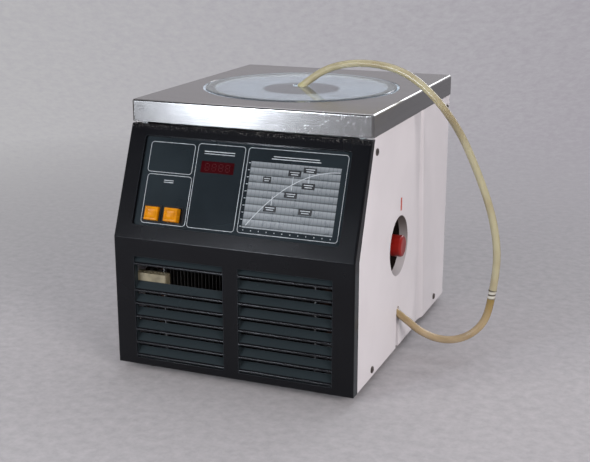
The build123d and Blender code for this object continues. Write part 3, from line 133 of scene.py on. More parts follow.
# ---------------------------------------------------------------- finishes
@dataclass(frozen=True)
class Finish:
    """A surface made by a known process, with its patches of tone and its fine relief."""

    name: str
    colour: str
    shade: str
    roughness: float
    swing: float = 0.06  # how far the roughness wanders either way
    patch_mm: float = 60.0  # size of the patches of tone
    grain_mm: float = 1.0
    grain_depth_mm: float = 0.01
    metallic: float = 0.0
    ior: float = 1.5
    specular: float = 0.5
    tone_span: Pair = (0.34, 0.62)  # what of the clouds' range the two tones share out
    gloss_span: Pair = (0.3, 0.7)

    def place(self, tree: NodeTree) -> Socket:
        """Returns the coordinates that the patterns follow."""
        return add_node(tree, "TexCoord").outputs["Object"]

    def clouds(self, tree: NodeTree, size_mm: float, detail: float = 3.0) -> Node:
        """Makes cloudy patches of a real size.

        Args:
            tree: the material's tree.
            size_mm: the size of one patch.
            detail: how many finer layers lie on it.

        Returns:
            The patches, from 0 to 1.
        """
        scale = 1000.0 / size_mm
        inputs = {"Vector": self.place(tree), "Scale": scale, "Detail": detail}
        return add_node(tree, "TexNoise", inputs)

    def rise(self, tree: NodeTree, low_mm: float, high_mm: float) -> Node:
        """Measures how far up a point is between two heights.

        Args:
            tree: the material's tree.
            low_mm: the height that gives 0.
            high_mm: the height that gives 1.

        Returns:
            The share, held between 0 and 1.
        """
        height = add_node(tree, "SeparateXYZ", self.place(tree)).outputs["Z"]
        return add_node(tree, "MapRange", height, low_mm * MM, high_mm * MM)

    def tone(self, tree: NodeTree) -> Node:
        """Returns the base colour: patches between the two tones."""
        stops = tuple(zip(self.tone_span, (self.shade, self.colour)))
        return add_node(tree, "ValToRGB", self.clouds(tree, self.patch_mm), stops=stops)

    def relief(self, tree: NodeTree) -> Node:
        """Returns the height of the fine relief, from 0 to 1."""
        return self.clouds(tree, self.grain_mm, 1.0)

    def gloss(self, tree: NodeTree) -> Node:
        """Returns the roughness, which wanders a little over the surface.

        Args:
            tree: the material's tree.

        Returns:
            The roughness's node.
        """
        wander = self.clouds(tree, self.patch_mm * 0.6)
        low = max(self.roughness - self.swing, 0.02)
        high = min(self.roughness + self.swing, 1.0)
        return add_node(tree, "MapRange", wander, *self.gloss_span, low, high)

    def shader(self, tree: NodeTree) -> Node:
        """Builds the surface shader.

        Args:
            tree: the material's tree.

        Returns:
            The shader node.
        """
        depth = self.grain_depth_mm * MM
        bump = add_node(tree, "Bump", {"Height": self.relief(tree), "Distance": depth})
        inputs: dict[str, Any] = {
            "Base Color": self.tone(tree),
            "Roughness": self.gloss(tree),
            "Metallic": self.metallic,
            "Normal": bump,
            "Specular IOR Level": self.specular,
        }
        if self.metallic < 0.5:  # a metal keeps the node's own index
            inputs["IOR"] = self.ior
        return add_node(tree, "BsdfPrincipled", inputs)

    def material(self) -> Material:
        """Makes the material, once for each name.

        Returns:
            The material.
        """
        known = bpy.data.materials.get(self.name)
        if known is not None:
            return known
        material, tree = blank(self.name)
        add_node(tree, "OutputMaterial", {"Surface": self.shader(tree)})
        return material


@dataclass(frozen=True)
class BrushedStainless(Finish):
    """Stainless sheet with long brush lines, running along X on the deck and the front."""

    line_mm: float = 0.9  # coarser than the real grit, so that the lines show
    line_length_mm: float = 130.0
    line_span: Pair = (0.25, 0.75)
    finger_mm: float = 9.0  # size of the dull spots from handling
    finger_span: Pair = (0.66, 0.76)
    finger_share: float = 0.35
    finger_tone: str = "#7b7871"
    drop_mm: float = 4.5  # size of the dried water drops
    drop_patch_mm: float = 14.0  # size of the patches that they lie in
    drop_span: Pair = (0.46, 0.6)
    drop_reach: float = 0.32  # of a drop's cell, where the patch is thickest
    drop_share: float = 0.7
    drop_tone: str = "#efefec"
    drops_x: Pair = (0.02, 0.1)  # the drops set in between these, towards the right
    front_y: float = -0.186  # what lies before this is the front rim
    dent_mm: float = 24.0
    dent_depth: float = 5.0  # in depths of a brush line
    side_lean: float = 0.7  # a normal's share of X past which a face looks sideways

    def lines(self, tree: NodeTree) -> Node:
        """Makes brush lines along X, and along Y on faces that look sideways.

        Args:
            tree: the material's tree.

        Returns:
            The lines' factor, from 0 to 1.
        """
        across, along = 1000.0 / self.line_mm, 1000.0 / self.line_length_mm
        found = []
        for scale in ((along, across, across), (across, along, across)):
            drawn = add_node(tree, "Mapping", {"Vector": self.place(tree), "Scale": scale})
            found.append(add_node(tree, "TexNoise", {"Vector": drawn, "Scale": 1.0, "Detail": 2.5}))
        normal = add_node(tree, "NewGeometry").outputs["Normal"]
        lean = add_node(tree, "Math", add_node(tree, "SeparateXYZ", normal), operation="ABSOLUTE")
        sideways = add_node(tree, "Math", lean, self.side_lean, operation="GREATER_THAN")
        return add_node(tree, "Mix", sideways, *found)

    def tone(self, tree: NodeTree) -> Node:
        """Returns the base colour: brush lines, dull finger spots and water marks.

        Args:
            tree: the material's tree.

        Returns:
            The colour's node.
        """
        stops = tuple(zip(self.line_span, (self.shade, self.colour)))
        lines = add_node(tree, "ValToRGB", self.lines(tree), stops=stops)
        fingers = self.clouds(tree, self.finger_mm)
        spots = add_node(
            tree, "MapRange", fingers, *self.finger_span, 0.0, self.finger_share
        )
        touched = add_node(tree, "Mix", spots, lines, self.finger_tone, data_type="RGBA")
        marks = self.water_marks(tree)
        return add_node(tree, "Mix", marks, touched, self.drop_tone, data_type="RGBA")

    def water_marks(self, tree: NodeTree) -> Node:
        """Returns the chalky marks of dried drops, which lie on the front's right end.

        A mark is where the distance from a cell's middle is less than a cloudy limit.

        Args:
            tree: the material's tree.

        Returns:
            The share's node.
        """
        place = self.place(tree)
        cells = {"Vector": place, "Scale": 1000.0 / self.drop_mm, "Randomness": 1.0}
        drops = add_node(tree, "TexVoronoi", cells).outputs["Distance"]
        patches = self.clouds(tree, self.drop_patch_mm, 4.0)
        limit = add_node(tree, "MapRange", patches, *self.drop_span, 0.0, self.drop_reach)
        mark = add_node(tree, "Math", drops, limit, operation="LESS_THAN")
        split = add_node(tree, "SeparateXYZ", place)
        x = split.outputs["X"]
        right = add_node(tree, "MapRange", x, *self.drops_x, 0.0, self.drop_share)
        front = add_node(tree, "Math", split.outputs["Y"], self.front_y, operation="LESS_THAN")
        near = add_node(tree, "Math", mark, right, operation="MULTIPLY")
        return add_node(tree, "Math", near, front, operation="MULTIPLY")

    def relief(self, tree: NodeTree) -> Node:
        """Returns the brush lines' height with shallow dents beneath.

        Args:
            tree: the material's tree.

        Returns:
            The height's node.
        """
        dents = self.clouds(tree, self.dent_mm, 0.0)
        depth = add_node(tree, "MapRange", dents, *self.line_span, 0.0, self.dent_depth)
        return add_node(tree, "Math", self.lines(tree), depth, operation="ADD")

    def gloss(self, tree: NodeTree) -> Node:
        """Returns the roughness: the lines' valleys are duller than their crests."""
        low, high = self.roughness - self.swing, self.roughness + self.swing
        return add_node(tree, "MapRange", self.lines(tree), *self.line_span, high, low)


@dataclass(frozen=True)
class Spangled(Finish):
    """Hot-dip galvanised sheet: large crystals of slightly different grey."""

    crystal_mm: float = 9.0

    def tone(self, tree: NodeTree) -> Node:
        """Returns the base colour: one tone for each crystal.

        Args:
            tree: the material's tree.

        Returns:
            The colour's node.
        """
        inputs = {"Vector": self.place(tree), "Scale": 1000.0 / self.crystal_mm}
        cells = add_node(tree, "TexVoronoi", inputs).outputs["Color"]
        pick = add_node(tree, "SeparateColor", cells)
        return add_node(tree, "ValToRGB", pick, stops=((0.0, self.shade), (1.0, self.colour)))


@dataclass(frozen=True)
class DustyMoulding(Finish):
    """A moulding that has caught pale dust on what faces up near a height, with painted light on
    its blades and edges.
    """

    dust: str = "#b9b6b0"
    dust_mm: Pair = (372.0, 379.0)  # the dust thickens between these heights
    dust_amount: float = 0.5
    speck_mm: float = 1.6
    speck_span: Pair = (0.6, 0.68)
    # edges: paler partly as wear, partly as a painted highlight
    worn_edge_highlight_colour: str = "#303438"
    rubbed_roughness: float = 0.15
    rubbed_mm: float = 1.3
    rubbed_span: Pair = (0.992, 0.9)  # how alike the two normals are on flats and on edges
    # blades: painted light, paler as their faces catch the lamps
    blade_painted_light_colour: str = "#242b2e"
    blades_behind: float = -0.2612  # the louvres' blades lie behind this,
    blades_below: float = 0.2  # and below this

    def rubbed(self, tree: NodeTree) -> Node:
        """Returns 1 on edges, where hands have polished the skin, and 0 on flats.

        A normal averaged over a small radius turns away from the face's own normal only
        near an edge.

        Args:
            tree: the material's tree.

        Returns:
            The share's node.
        """
        averaged = add_node(tree, "Bevel", self.rubbed_mm * MM, samples=6)
        own = add_node(tree, "NewGeometry").outputs["Normal"]
        alike = add_node(tree, "VectorMath", averaged, own, operation="DOT_PRODUCT")
        return add_node(tree, "MapRange", alike, *self.rubbed_span)

    def gloss(self, tree: NodeTree) -> Node:
        """Returns the roughness: matt flats and polished edges."""
        flat = super().gloss(tree)
        return add_node(tree, "Mix", self.rubbed(tree), flat, self.rubbed_roughness)

    def tone(self, tree: NodeTree) -> Node:
        """Returns the base colour: plain, blades paler as painted light, edges paler as wear and as
        a painted highlight, and specks of dust.

        Args:
            tree: the material's tree.

        Returns:
            The colour's node.
        """
        split = add_node(tree, "SeparateXYZ", self.place(tree))
        y, z = split.outputs["Y"], split.outputs["Z"]
        behind = add_node(tree, "Math", y, self.blades_behind, operation="GREATER_THAN")
        below = add_node(tree, "Math", z, self.blades_below, operation="LESS_THAN")
        blades = add_node(tree, "Math", behind, below, operation="MULTIPLY")
        clouds = self.clouds(tree, self.speck_mm, 2.0)
        specks = add_node(tree, "MapRange", clouds, *self.speck_span)
        band = add_node(tree, "Math", self.rise(tree, *self.dust_mm), specks, operation="MULTIPLY")
        dusty = add_node(tree, "Math", band, self.dust_amount, operation="MULTIPLY")
        tone = super().tone(tree)
        layers = (
            (blades, self.blade_painted_light_colour),
            (self.rubbed(tree), self.worn_edge_highlight_colour),
            (dusty, self.dust),
        )
        for share, colour in layers:
            tone = add_node(tree, "Mix", share, tone, colour, data_type="RGBA")
        return tone


@dataclass(frozen=True)
class HoledMoulding(Finish):
    """A white moulding whose round hole has painted shade on its wall, darker towards the top."""

    hole: Point = (0.0, -0.0481, 0.1843)
    hole_radius: float = 0.0485
    # painted shade on the hole's wall, darker towards the top
    hole_shade: str = "#6b625c"
    hole_shade_heights: Pair = (-0.04, 0.03)  # from the hole's middle
    hole_shade_shares: Pair = (0.15, 0.9)

    def tone(self, tree: NodeTree) -> Node:
        """Returns the base colour: white, and browner on the hole's wall as painted shade.

        The wall is what lies within the hole's radius of its axis, which runs along X.

        Args:
            tree: the material's tree.

        Returns:
            The colour's node.
        """
        place = self.place(tree)
        away = add_node(tree, "VectorMath", place, self.hole, operation="SUBTRACT")
        flat = add_node(tree, "VectorMath", away, (0.0, 1.0, 1.0), operation="MULTIPLY")
        radius = add_node(tree, "VectorMath", flat, operation="LENGTH")
        inside = add_node(tree, "Math", radius, self.hole_radius, operation="LESS_THAN")
        up = add_node(tree, "SeparateXYZ", away).outputs["Z"]
        thick = add_node(tree, "MapRange", up, *self.hole_shade_heights, *self.hole_shade_shares)
        share = add_node(tree, "Math", inside, thick, operation="MULTIPLY")
        return add_node(tree, "Mix", share, super().tone(tree), self.hole_shade, data_type="RGBA")


@dataclass(frozen=True)
class ClearSheet(Finish):
    """Clear cast acrylic: see-through under a faint patchy haze of wear and damp."""

    haze: str = "#b9c1ca"
    haze_span: Pair = (0.35, 0.65)
    haze_share: Pair = (0.015, 0.08)
    haze_mm: float = 45.0

    def shader(self, tree: NodeTree) -> Node:
        """Builds a clear shader that lets lamps' light through to what lies below.

        Args:
            tree: the material's tree.

        Returns:
            The shader node.
        """
        clear = super().shader(tree)
        clear.inputs["Transmission Weight"].default_value = 1.0
        milky = add_node(tree, "BsdfDiffuse", self.haze)
        patches = self.clouds(tree, self.haze_mm, 4.0)
        amount = add_node(tree, "MapRange", patches, *self.haze_span, *self.haze_share)
        hazed = add_node(tree, "MixShader", amount, clear, milky)
        passing = add_node(tree, "BsdfTransparent", self.colour)
        shadow = add_node(tree, "LightPath").outputs["Is Shadow Ray"]
        return add_node(tree, "MixShader", shadow, hazed, passing)


@dataclass(frozen=True)
class VinylHose(Finish):
    """Extruded clear vinyl gone cloudy: a soft glow in its wall and a glossy skin."""

    glow: float = 0.25
    glow_mm: float = 3.0
    glow_reach: Point = (1.0, 0.9, 0.6)  # how far red, green and blue light wander

    def shader(self, tree: NodeTree) -> Node:
        """Builds the vinyl's shader, with light that wanders in the wall.

        Args:
            tree: the material's tree.

        Returns:
            The shader node.
        """
        node = super().shader(tree)
        node.inputs["Subsurface Weight"].default_value = self.glow
        node.inputs["Subsurface Radius"].default_value = self.glow_reach
        node.inputs["Subsurface Scale"].default_value = self.glow_mm * MM
        return node


@dataclass(frozen=True)
class GradedVinyl(VinylHose):
    """Vinyl whose stain deepens between two heights."""

    stain: str = "#8a7440"
    stain_mm: Pair = (55.0, 108.0)

    def tone(self, tree: NodeTree) -> Node:
        """Returns the base colour: the hose's own tone, and the stain higher up."""
        share = self.rise(tree, *self.stain_mm)
        return add_node(tree, "Mix", share, super().tone(tree), self.stain, data_type="RGBA")


@dataclass(frozen=True)
class RingedNylon(VinylHose):
    """Smoky see-through nylon, banded with painted light: dark bands of painted shade for its seals
    and ends, pale bands of painted highlight.
    """

    ends_mm: Pair = (110.0, 124.4)
    low_end_shade: str = "#5b5344"
    seal_shade: str = "#4a4438"
    high_end_shade: str = "#3c372e"

    def tone(self, tree: NodeTree) -> Node:
        """Returns the base colour: pale bands of painted highlight between dark bands of painted
        shade.

        Args:
            tree: the material's tree.

        Returns:
            The colour's node.
        """
        pale, dim, seal_shade = self.colour, self.shade, self.seal_shade
        stops = ((0.0, self.low_end_shade), (0.12, dim), (0.2, pale), (0.36, pale), (0.44, seal_shade))
        stops += ((0.54, seal_shade), (0.62, pale), (0.8, pale), (0.9, dim), (1.0, self.high_end_shade))
        return add_node(tree, "ValToRGB", self.rise(tree, *self.ends_mm), stops=stops)


@dataclass(frozen=True)
class CircuitMask(Finish):
    """Green solder mask over copper tracks, which show as lighter lanes."""

    lane_mm: float = 3.2
    lane_span: Pair = (0.30, 0.42)  # of a lane, from the mask's tone to the track's

    def tone(self, tree: NodeTree) -> Node:
        """Returns the base colour: square lanes of track under the mask.

        Args:
            tree: the material's tree.

        Returns:
            The colour's node.
        """
        inputs = {"Vector": self.place(tree), "Scale": 1000.0 / self.lane_mm}
        cells = add_node(tree, "TexVoronoi", inputs, distance="CHEBYCHEV")
        stops = tuple(zip(self.lane_span, (self.colour, self.shade)))
        return add_node(tree, "ValToRGB", cells.outputs["Distance"], stops=stops)


@dataclass(frozen=True)
class ChartPrint(Finish):
    """The overlay's printed chart: grey bands that fade downwards, ruled with fine lines."""

    bands: float = 9.0
    band_tones: tuple[tuple[float, str], ...] = (
        (0.0, "#33383b"),
        (0.10, "#3f4548"),
        (0.16, "#565c60"),
        (0.92, "#80868a"),
        (1.0, "#4b5154"),
    )
    rules: float = 22.0
    rule_width: float = 0.09  # in spaces between rules
    rule_share: float = 0.5
    rule_tone: str = "#2b2f32"

    def tone(self, tree: NodeTree) -> Node:
        """Returns the base colour, laid out on the chart's own UV map.

        Args:
            tree: the material's tree.

        Returns:
            The colour's node.
        """
        split = add_node(tree, "SeparateXYZ", add_node(tree, "UVMap", uv_map="chart"))
        rows = add_node(tree, "Math", split.outputs["Y"], self.bands, operation="MULTIPLY")
        rise = add_node(tree, "Math", rows, operation="FRACT")
        band = add_node(tree, "ValToRGB", rise, stops=self.band_tones)
        columns = add_node(tree, "Math", split.outputs["X"], self.rules, operation="MULTIPLY")
        across = add_node(tree, "Math", columns, operation="FRACT")
        line = add_node(tree, "Math", across, self.rule_width, operation="LESS_THAN")
        share = add_node(tree, "Math", line, self.rule_share, operation="MULTIPLY")
        return add_node(tree, "Mix", share, band, self.rule_tone, data_type="RGBA")


# Satin stainless: bright, with long soft streaks and a few dull spots from handling.
SATIN_STAINLESS = BrushedStainless(
    "Satin_stainless_brushed",
    colour="#b2b1af", shade="#a5a4a1", roughness=0.22, swing=0.04, grain_depth_mm=0.006,
    metallic=1.0,
)
# Bead-blasted stainless: pale and even, with no lines.
BLASTED_STAINLESS = Finish(
    "Stainless_bead_blasted",
    colour="#e2e6ec", shade="#d3d8de", roughness=0.55, swing=0.06, patch_mm=50.0,
    grain_mm=0.5, grain_depth_mm=0.01, metallic=0.1,
)
# Drawn stainless of the deep pot, painted dark and blue-grey as shade, as little light reaches it.
SHADED_DRAWN_STAINLESS = Finish(
    "Stainless_deep_drawn",
    colour="#5c656f", shade="#474f58", roughness=0.45, swing=0.08, patch_mm=40.0,
    grain_mm=0.8, grain_depth_mm=0.01, metallic=0.5,
)
# Turned stainless: a tighter, shinier sheen than the sheet's.
TURNED_STAINLESS = Finish(
    "Turned_stainless",
    colour="#c2c0bd", shade="#a5a39f", roughness=0.26, swing=0.05, patch_mm=20.0,
    grain_mm=0.5, grain_depth_mm=0.004, metallic=1.0,
)
# Cast acrylic with polished edges: clear, faintly cool, with a crisp reflection.
CAST_ACRYLIC = ClearSheet(
    "Cast_acrylic_clear",
    colour="#eaf0f3", shade="#e3ebef", roughness=0.04, swing=0.02, patch_mm=120.0,
    grain_mm=30.0, grain_depth_mm=0.01, ior=1.49,
)
# Compression-moulded silicone: dull, milky white.
SILICONE = Finish(
    "Silicone_moulded",
    colour="#ebeae6", shade="#dddcd7", roughness=0.55, swing=0.05, patch_mm=30.0,
    grain_mm=0.8, grain_depth_mm=0.01, ior=1.41,
)
# Injection-moulded black trim: plain black with a weak sheen.
BLACK_TRIM = Finish(
    "Black_ABS_trim",
    colour="#111213", shade="#0b0b0c", roughness=0.42, swing=0.05, patch_mm=40.0,
    grain_mm=0.7, grain_depth_mm=0.01, ior=1.53, specular=0.2,
)
# The same trim round the chamber's mouth, tinted navy as painted shade for the dim light that
# creeps through its edge.
TRIM_IN_BLUE_SHADE = Finish(
    "ABS_trim_painted_blue_shade",
    colour="#131a2c", shade="#0d1220", roughness=0.4, swing=0.05, patch_mm=40.0,
    grain_mm=0.7, grain_depth_mm=0.01, ior=1.53, specular=0.25,
)
# Brown-black moulding of the knob's well.
WELL_BROWN = Finish(
    "Well_ABS_brown_black",
    colour="#1d1614", shade="#15100f", roughness=0.5, swing=0.05, patch_mm=40.0,
    grain_mm=0.7, grain_depth_mm=0.01, ior=1.53, specular=0.2,
)
# Fine-textured near-black ABS: satin flats, edges polished by use and painted paler as a highlight,
# blades painted paler as lit, dust along its top.
FRONT_ABS = DustyMoulding(
    "Black_ABS_fine_texture",
    colour="#0c0d10", shade="#09090c", roughness=0.26, swing=0.02, patch_mm=90.0,
    grain_mm=0.8, grain_depth_mm=0.012, ior=1.53, specular=0.2,
)
# Glossy printed overlay: near black under a smooth clear skin.
OVERLAY = Finish(
    "Polyester_overlay_gloss",
    colour="#22292d", shade="#1b2125", roughness=0.1, swing=0.02, patch_mm=120.0,
    grain_mm=8.0, grain_depth_mm=0.002, ior=1.57,
)
# Overlay ink: pale grey screen print, flatter than the skin around it.
PALE_INK = Finish(
    "Screen_ink_pale_grey",
    colour="#a7adb1", shade="#949a9f", roughness=0.34, swing=0.04, patch_mm=6.0,
    grain_mm=0.4, grain_depth_mm=0.004,
)
# Overlay ink: near-black boxes printed over the chart.
DARK_INK = Finish(
    "Screen_ink_black",
    colour="#15181b", shade="#0f1214", roughness=0.30, swing=0.04, patch_mm=6.0,
    grain_mm=0.4, grain_depth_mm=0.004,
)
# Overlay ink of the chart: grey bands ruled with fine dark lines.
CHART = ChartPrint(
    "Screen_printed_chart",
    colour="#70767a", shade="#2b2f32", roughness=0.28, swing=0.03, patch_mm=40.0,
    grain_mm=0.6, grain_depth_mm=0.004,
)
# Dark red acrylic filter: nearly black until its digits light.
RED_FILTER = Finish(
    "Red_acrylic_filter",
    colour="#36060b", shade="#2a0508", roughness=0.1, swing=0.02, patch_mm=30.0,
    grain_mm=6.0, grain_depth_mm=0.002, ior=1.49, specular=0.35,
)
# Unlit digit segments behind the filter: a shade greyer than it.
DIGIT_SEGMENT = Finish(
    "Unlit_digit_segment",
    colour="#3d0a0e", shade="#33080b", roughness=0.3, swing=0.04, patch_mm=6.0,
    grain_mm=0.5, grain_depth_mm=0.002, specular=0.35,
)
# Amber polycarbonate cap: saturated, with a bright moulded edge.
AMBER_CAP = VinylHose(
    "Amber_polycarbonate",
    colour="#bd7a06", shade="#a96a04", roughness=0.26, swing=0.05, patch_mm=12.0,
    grain_mm=0.6, grain_depth_mm=0.01, ior=1.58, specular=0.2, glow=0.05,
)
# White structural moulding: a soft fine grain, a little yellowing, and painted shade in its hole.
WHITE_MOULDING = HoledMoulding(
    "White_ABS_structural",
    colour="#dfdbdd", shade="#d8d4d6", roughness=0.44, swing=0.06, patch_mm=130.0,
    grain_mm=1.1, grain_depth_mm=0.03, ior=1.53, specular=0.4,
)
# Blackened screw steel: dark brown-black with a hard glint.
BLACK_OXIDE = Finish(
    "Steel_black_oxide",
    colour="#3a3634", shade="#262322", roughness=0.38, swing=0.08, patch_mm=4.0,
    grain_mm=0.5, grain_depth_mm=0.01, metallic=1.0,
)
# Screw steel with a worn brown phosphate: duller and paler than the black.
BROWN_PHOSPHATE = Finish(
    "Steel_brown_phosphate",
    colour="#6f6863", shade="#57514d", roughness=0.42, swing=0.08, patch_mm=4.0,
    grain_mm=0.5, grain_depth_mm=0.01, metallic=0.8,
)
# Moulded nitrile rubber: flat black.
NITRILE = Finish(
    "Nitrile_rubber_moulded",
    colour="#1c1c1c", shade="#141414", roughness=0.75, swing=0.06, patch_mm=15.0,
    grain_mm=0.9, grain_depth_mm=0.03, ior=1.52,
)
# Red ABS knob: strong red with a satin skin.
RED_KNOB = Finish(
    "Red_ABS_satin",
    colour="#931d17", shade="#78140f", roughness=0.32, swing=0.05, patch_mm=18.0,
    grain_mm=0.8, grain_depth_mm=0.01, ior=1.53, specular=0.4,
)
# Red paint fill of the index mark.
RED_PAINT = Finish(
    "Red_index_paint",
    colour="#c2503a", shade="#a8402e", roughness=0.5, swing=0.05, patch_mm=3.0,
    grain_mm=0.5, grain_depth_mm=0.01,
)
# Clear vinyl gone pale yellow-green.
VINYL_GREEN = VinylHose(
    "Vinyl_hose_yellow_green",
    colour="#aaa486", shade="#988d6f", roughness=0.24, swing=0.05, patch_mm=60.0,
    grain_mm=3.0, grain_depth_mm=0.02, ior=1.53,
)
# The same vinyl, stained tan by oil, and olive-brown below the joiner.
VINYL_TAN = GradedVinyl(
    "Vinyl_hose_tan",
    colour="#b3a080", shade="#9a8664", roughness=0.2, swing=0.05, patch_mm=40.0,
    grain_mm=3.0, grain_depth_mm=0.02, ior=1.53,
)
# Smoky nylon of the joiner: a waxy sheen, with painted shade for its seal and ends and painted
# highlight between.
JOINER_NYLON = RingedNylon(
    "Nylon_joiner_smoky",
    colour="#c4c1b4", shade="#8f8a7a", roughness=0.24, swing=0.05, patch_mm=8.0,
    grain_mm=0.6, grain_depth_mm=0.01, ior=1.53, glow=0.15,
)
# Moulded nylon gone yellow-green like its hose.
YELLOWED_NYLON = VinylHose(
    "Nylon_moulded_yellowed",
    colour="#a8a37c", shade="#97916b", roughness=0.36, swing=0.05, patch_mm=12.0,
    grain_mm=0.6, grain_depth_mm=0.01, ior=1.53, glow=0.1,
)
# Machined brass, a little tarnished.
BRASS = Finish(
    "Brass_machined",
    colour="#b99a52", shade="#93763a", roughness=0.30, swing=0.07, patch_mm=12.0,
    grain_mm=0.5, grain_depth_mm=0.006, metallic=1.0,
)
# Galvanised sheet: grey crystals.
GALVANISED = Spangled(
    "Galvanised_sheet",
    colour="#b3b5b4", shade="#8f9291", roughness=0.42, swing=0.08, patch_mm=30.0,
    grain_mm=1.2, grain_depth_mm=0.008, metallic=0.9,
)
# Grey powder coat with a fine orange peel.
POWDER_COAT = Finish(
    "Powder_coat_grey",
    colour="#9b9b98", shade="#8e8e8b", roughness=0.5, swing=0.05, patch_mm=80.0,
    grain_mm=1.6, grain_depth_mm=0.04,
)
# Poured urethane foam: straw-coloured and pitted.
FOAM = Finish(
    "Urethane_foam_poured",
    colour="#d4bd84", shade="#b89f65", roughness=0.85, swing=0.05, patch_mm=25.0,
    grain_mm=2.4, grain_depth_mm=0.25,
)
# Drawn copper, browned in places by brazing heat, and painted dark all over as shade inside the
# machine.
SHADED_COPPER = Finish(
    "Copper_tube_drawn",
    colour="#3c2a22", shade="#261a15", roughness=0.5, swing=0.08, patch_mm=22.0,
    grain_mm=0.8, grain_depth_mm=0.008, metallic=1.0,
)
# Stamped aluminium fin: grey and dull, painted near black as shade inside the machine.
FIN_IN_PAINTED_SHADE = Finish(
    "Aluminium_fin_painted_shade",
    colour="#2c2a28", shade="#1e1c1b", roughness=0.6, swing=0.06, patch_mm=12.0,
    grain_mm=0.8, grain_depth_mm=0.01, metallic=0.5,
)
# Brushed-on black paint over a pressed steel shell.
BLACK_PAINT = Finish(
    "Black_enamel_on_steel",
    colour="#1d1d1e", shade="#141415", roughness=0.34, swing=0.08, patch_mm=30.0,
    grain_mm=1.8, grain_depth_mm=0.05,
)
# Grey motor paint.
MOTOR_PAINT = Finish(
    "Grey_enamel_motor",
    colour="#55565a", shade="#47484b", roughness=0.4, swing=0.06, patch_mm=20.0,
    grain_mm=1.4, grain_depth_mm=0.03,
)
# Ground shaft steel.
GROUND_STEEL = Finish(
    "Ground_steel",
    colour="#b4b4b4", shade="#9c9c9c", roughness=0.22, swing=0.04, patch_mm=8.0,
    grain_mm=0.3, grain_depth_mm=0.002, metallic=1.0,
)
# Pressed aluminium blades, dusty.
PRESSED_ALUMINIUM = Finish(
    "Aluminium_pressed",
    colour="#a6a7a8", shade="#86878a", roughness=0.42, swing=0.06, patch_mm=25.0,
    grain_mm=1.0, grain_depth_mm=0.01, metallic=1.0,
)
# Solder mask over copper: green, with lighter lanes of track.
CIRCUIT = CircuitMask(
    "Solder_mask_green",
    colour="#1f5c33", shade="#174726", roughness=0.34, swing=0.05, patch_mm=20.0,
    grain_mm=0.6, grain_depth_mm=0.01,
)
# Varnished steel laminations: brown-black, ribbed.
LAMINATIONS = Finish(
    "Varnished_laminations",
    colour="#3a332b", shade="#28231d", roughness=0.45, swing=0.08, patch_mm=10.0,
    grain_mm=0.5, grain_depth_mm=0.05,
)
# Moulded ivory polyamide, painted dark as shade inside the machine.
SHADED_IVORY = Finish(
    "Ivory_polyamide",
    colour="#7f7863", shade="#655f4c", roughness=0.45, swing=0.05, patch_mm=12.0,
    grain_mm=0.8, grain_depth_mm=0.01,
)
# Moulded black inlet with a smooth skin.
INLET_BLACK = Finish(
    "Black_phenolic_moulded",
    colour="#18181a", shade="#111112", roughness=0.28, swing=0.05, patch_mm=20.0,
    grain_mm=0.8, grain_depth_mm=0.008,
)


# ---------------------------------------------------------------- surfaces
def grid_quads(rings: int, around: int, closed: bool = False) -> list[list[int]]:
    """Joins rings of points with four-sided faces.

    The face at ring i and place j takes the points (i, j), (i, j+1), (i+1, j+1), (i+1, j),
    and each ring's last point joins its first.

    Args:
        rings: how many rings there are.
        around: how many points are in a ring.
        closed: whether the last ring joins the first one too.

    Returns:
        The faces' point numbers.
    """
    ring = np.arange(rings if closed else rings - 1)[:, None]
    place = np.arange(around)[None, :]
    above, after = (ring + 1) % rings * around, (place + 1) % around
    corners = (ring * around + place, ring * around + after, above + after, above + place)
    return np.stack(np.broadcast_arrays(*corners), axis=-1).reshape(-1, 4).tolist()


def ring_faces(rings: int, around: int) -> list[list[int]]:
    """Joins rings of points into a closed skin, with a face over each end.

    Args:
        rings: how many rings there are.
        around: how many points are in a ring.

    Returns:
        The faces' point numbers.
    """
    last = (rings - 1) * around
    ends = [list(range(around)), list(range(last, last + around))]
    return grid_quads(rings, around) + ends


def rounded_loop(half_x: float, half_y: float, corner: float, steps: int = 6) -> np.ndarray:
    """Walks round a rectangle with round corners.

    Each corner is a quarter circle about its own centre, sampled at equal angles.

    Args:
        half_x: half the width.
        half_y: half the height.
        corner: the corners' radius.
        steps: the pieces that each quarter circle has.

    Returns:
        The loop's points, anticlockwise.
    """
    turn = np.arange(4)[:, None] * np.pi / 2 + np.linspace(0, np.pi / 2, steps + 1)[None, :]
    sign_x = np.array([1, -1, -1, 1])[:, None]
    sign_y = np.array([1, 1, -1, -1])[:, None]
    x = sign_x * (half_x - corner) + corner * np.cos(turn)
    y = sign_y * (half_y - corner) + corner * np.sin(turn)
    return np.stack((x, y), axis=-1).reshape(-1, 2)


def raised(loop: np.ndarray, height: float) -> np.ndarray:
    """Returns a flat line's points with the same height for each."""
    return np.column_stack((loop, np.full(len(loop), height)))


def turned_points(profile: np.ndarray, steps: int, flats: np.ndarray | None = None) -> np.ndarray:
    """Turns a profile about the local third axis.

    A point at radius r and height h goes to (r cos a, r sin a, h) at each angle a. Where a
    ring has flats, r is divided by the cosine of the angle from the nearest flat's middle,
    which draws a hexagon.

    Args:
        profile: radius and height of each ring, in millimetres.
        steps: points in a ring.
        flats: for each ring, whether it is a hexagon.

    Returns:
        Rings times steps points, in millimetres.
    """
    angle = np.linspace(0, 2 * np.pi, steps, endpoint=False)[None, :]
    radius = np.repeat(profile[:, :1], steps, axis=1)
    if flats is not None:
        away = np.mod(angle, np.pi / 3) - np.pi / 6
        hexagon = radius * np.cos(np.pi / 6) / np.cos(away)
        radius = np.where(flats[:, None], hexagon, radius)
    height = np.repeat(profile[:, 1:], steps, axis=1)
    turned = (radius * np.cos(angle), radius * np.sin(angle), height)
    return np.stack(turned, axis=-1).reshape(-1, 3)


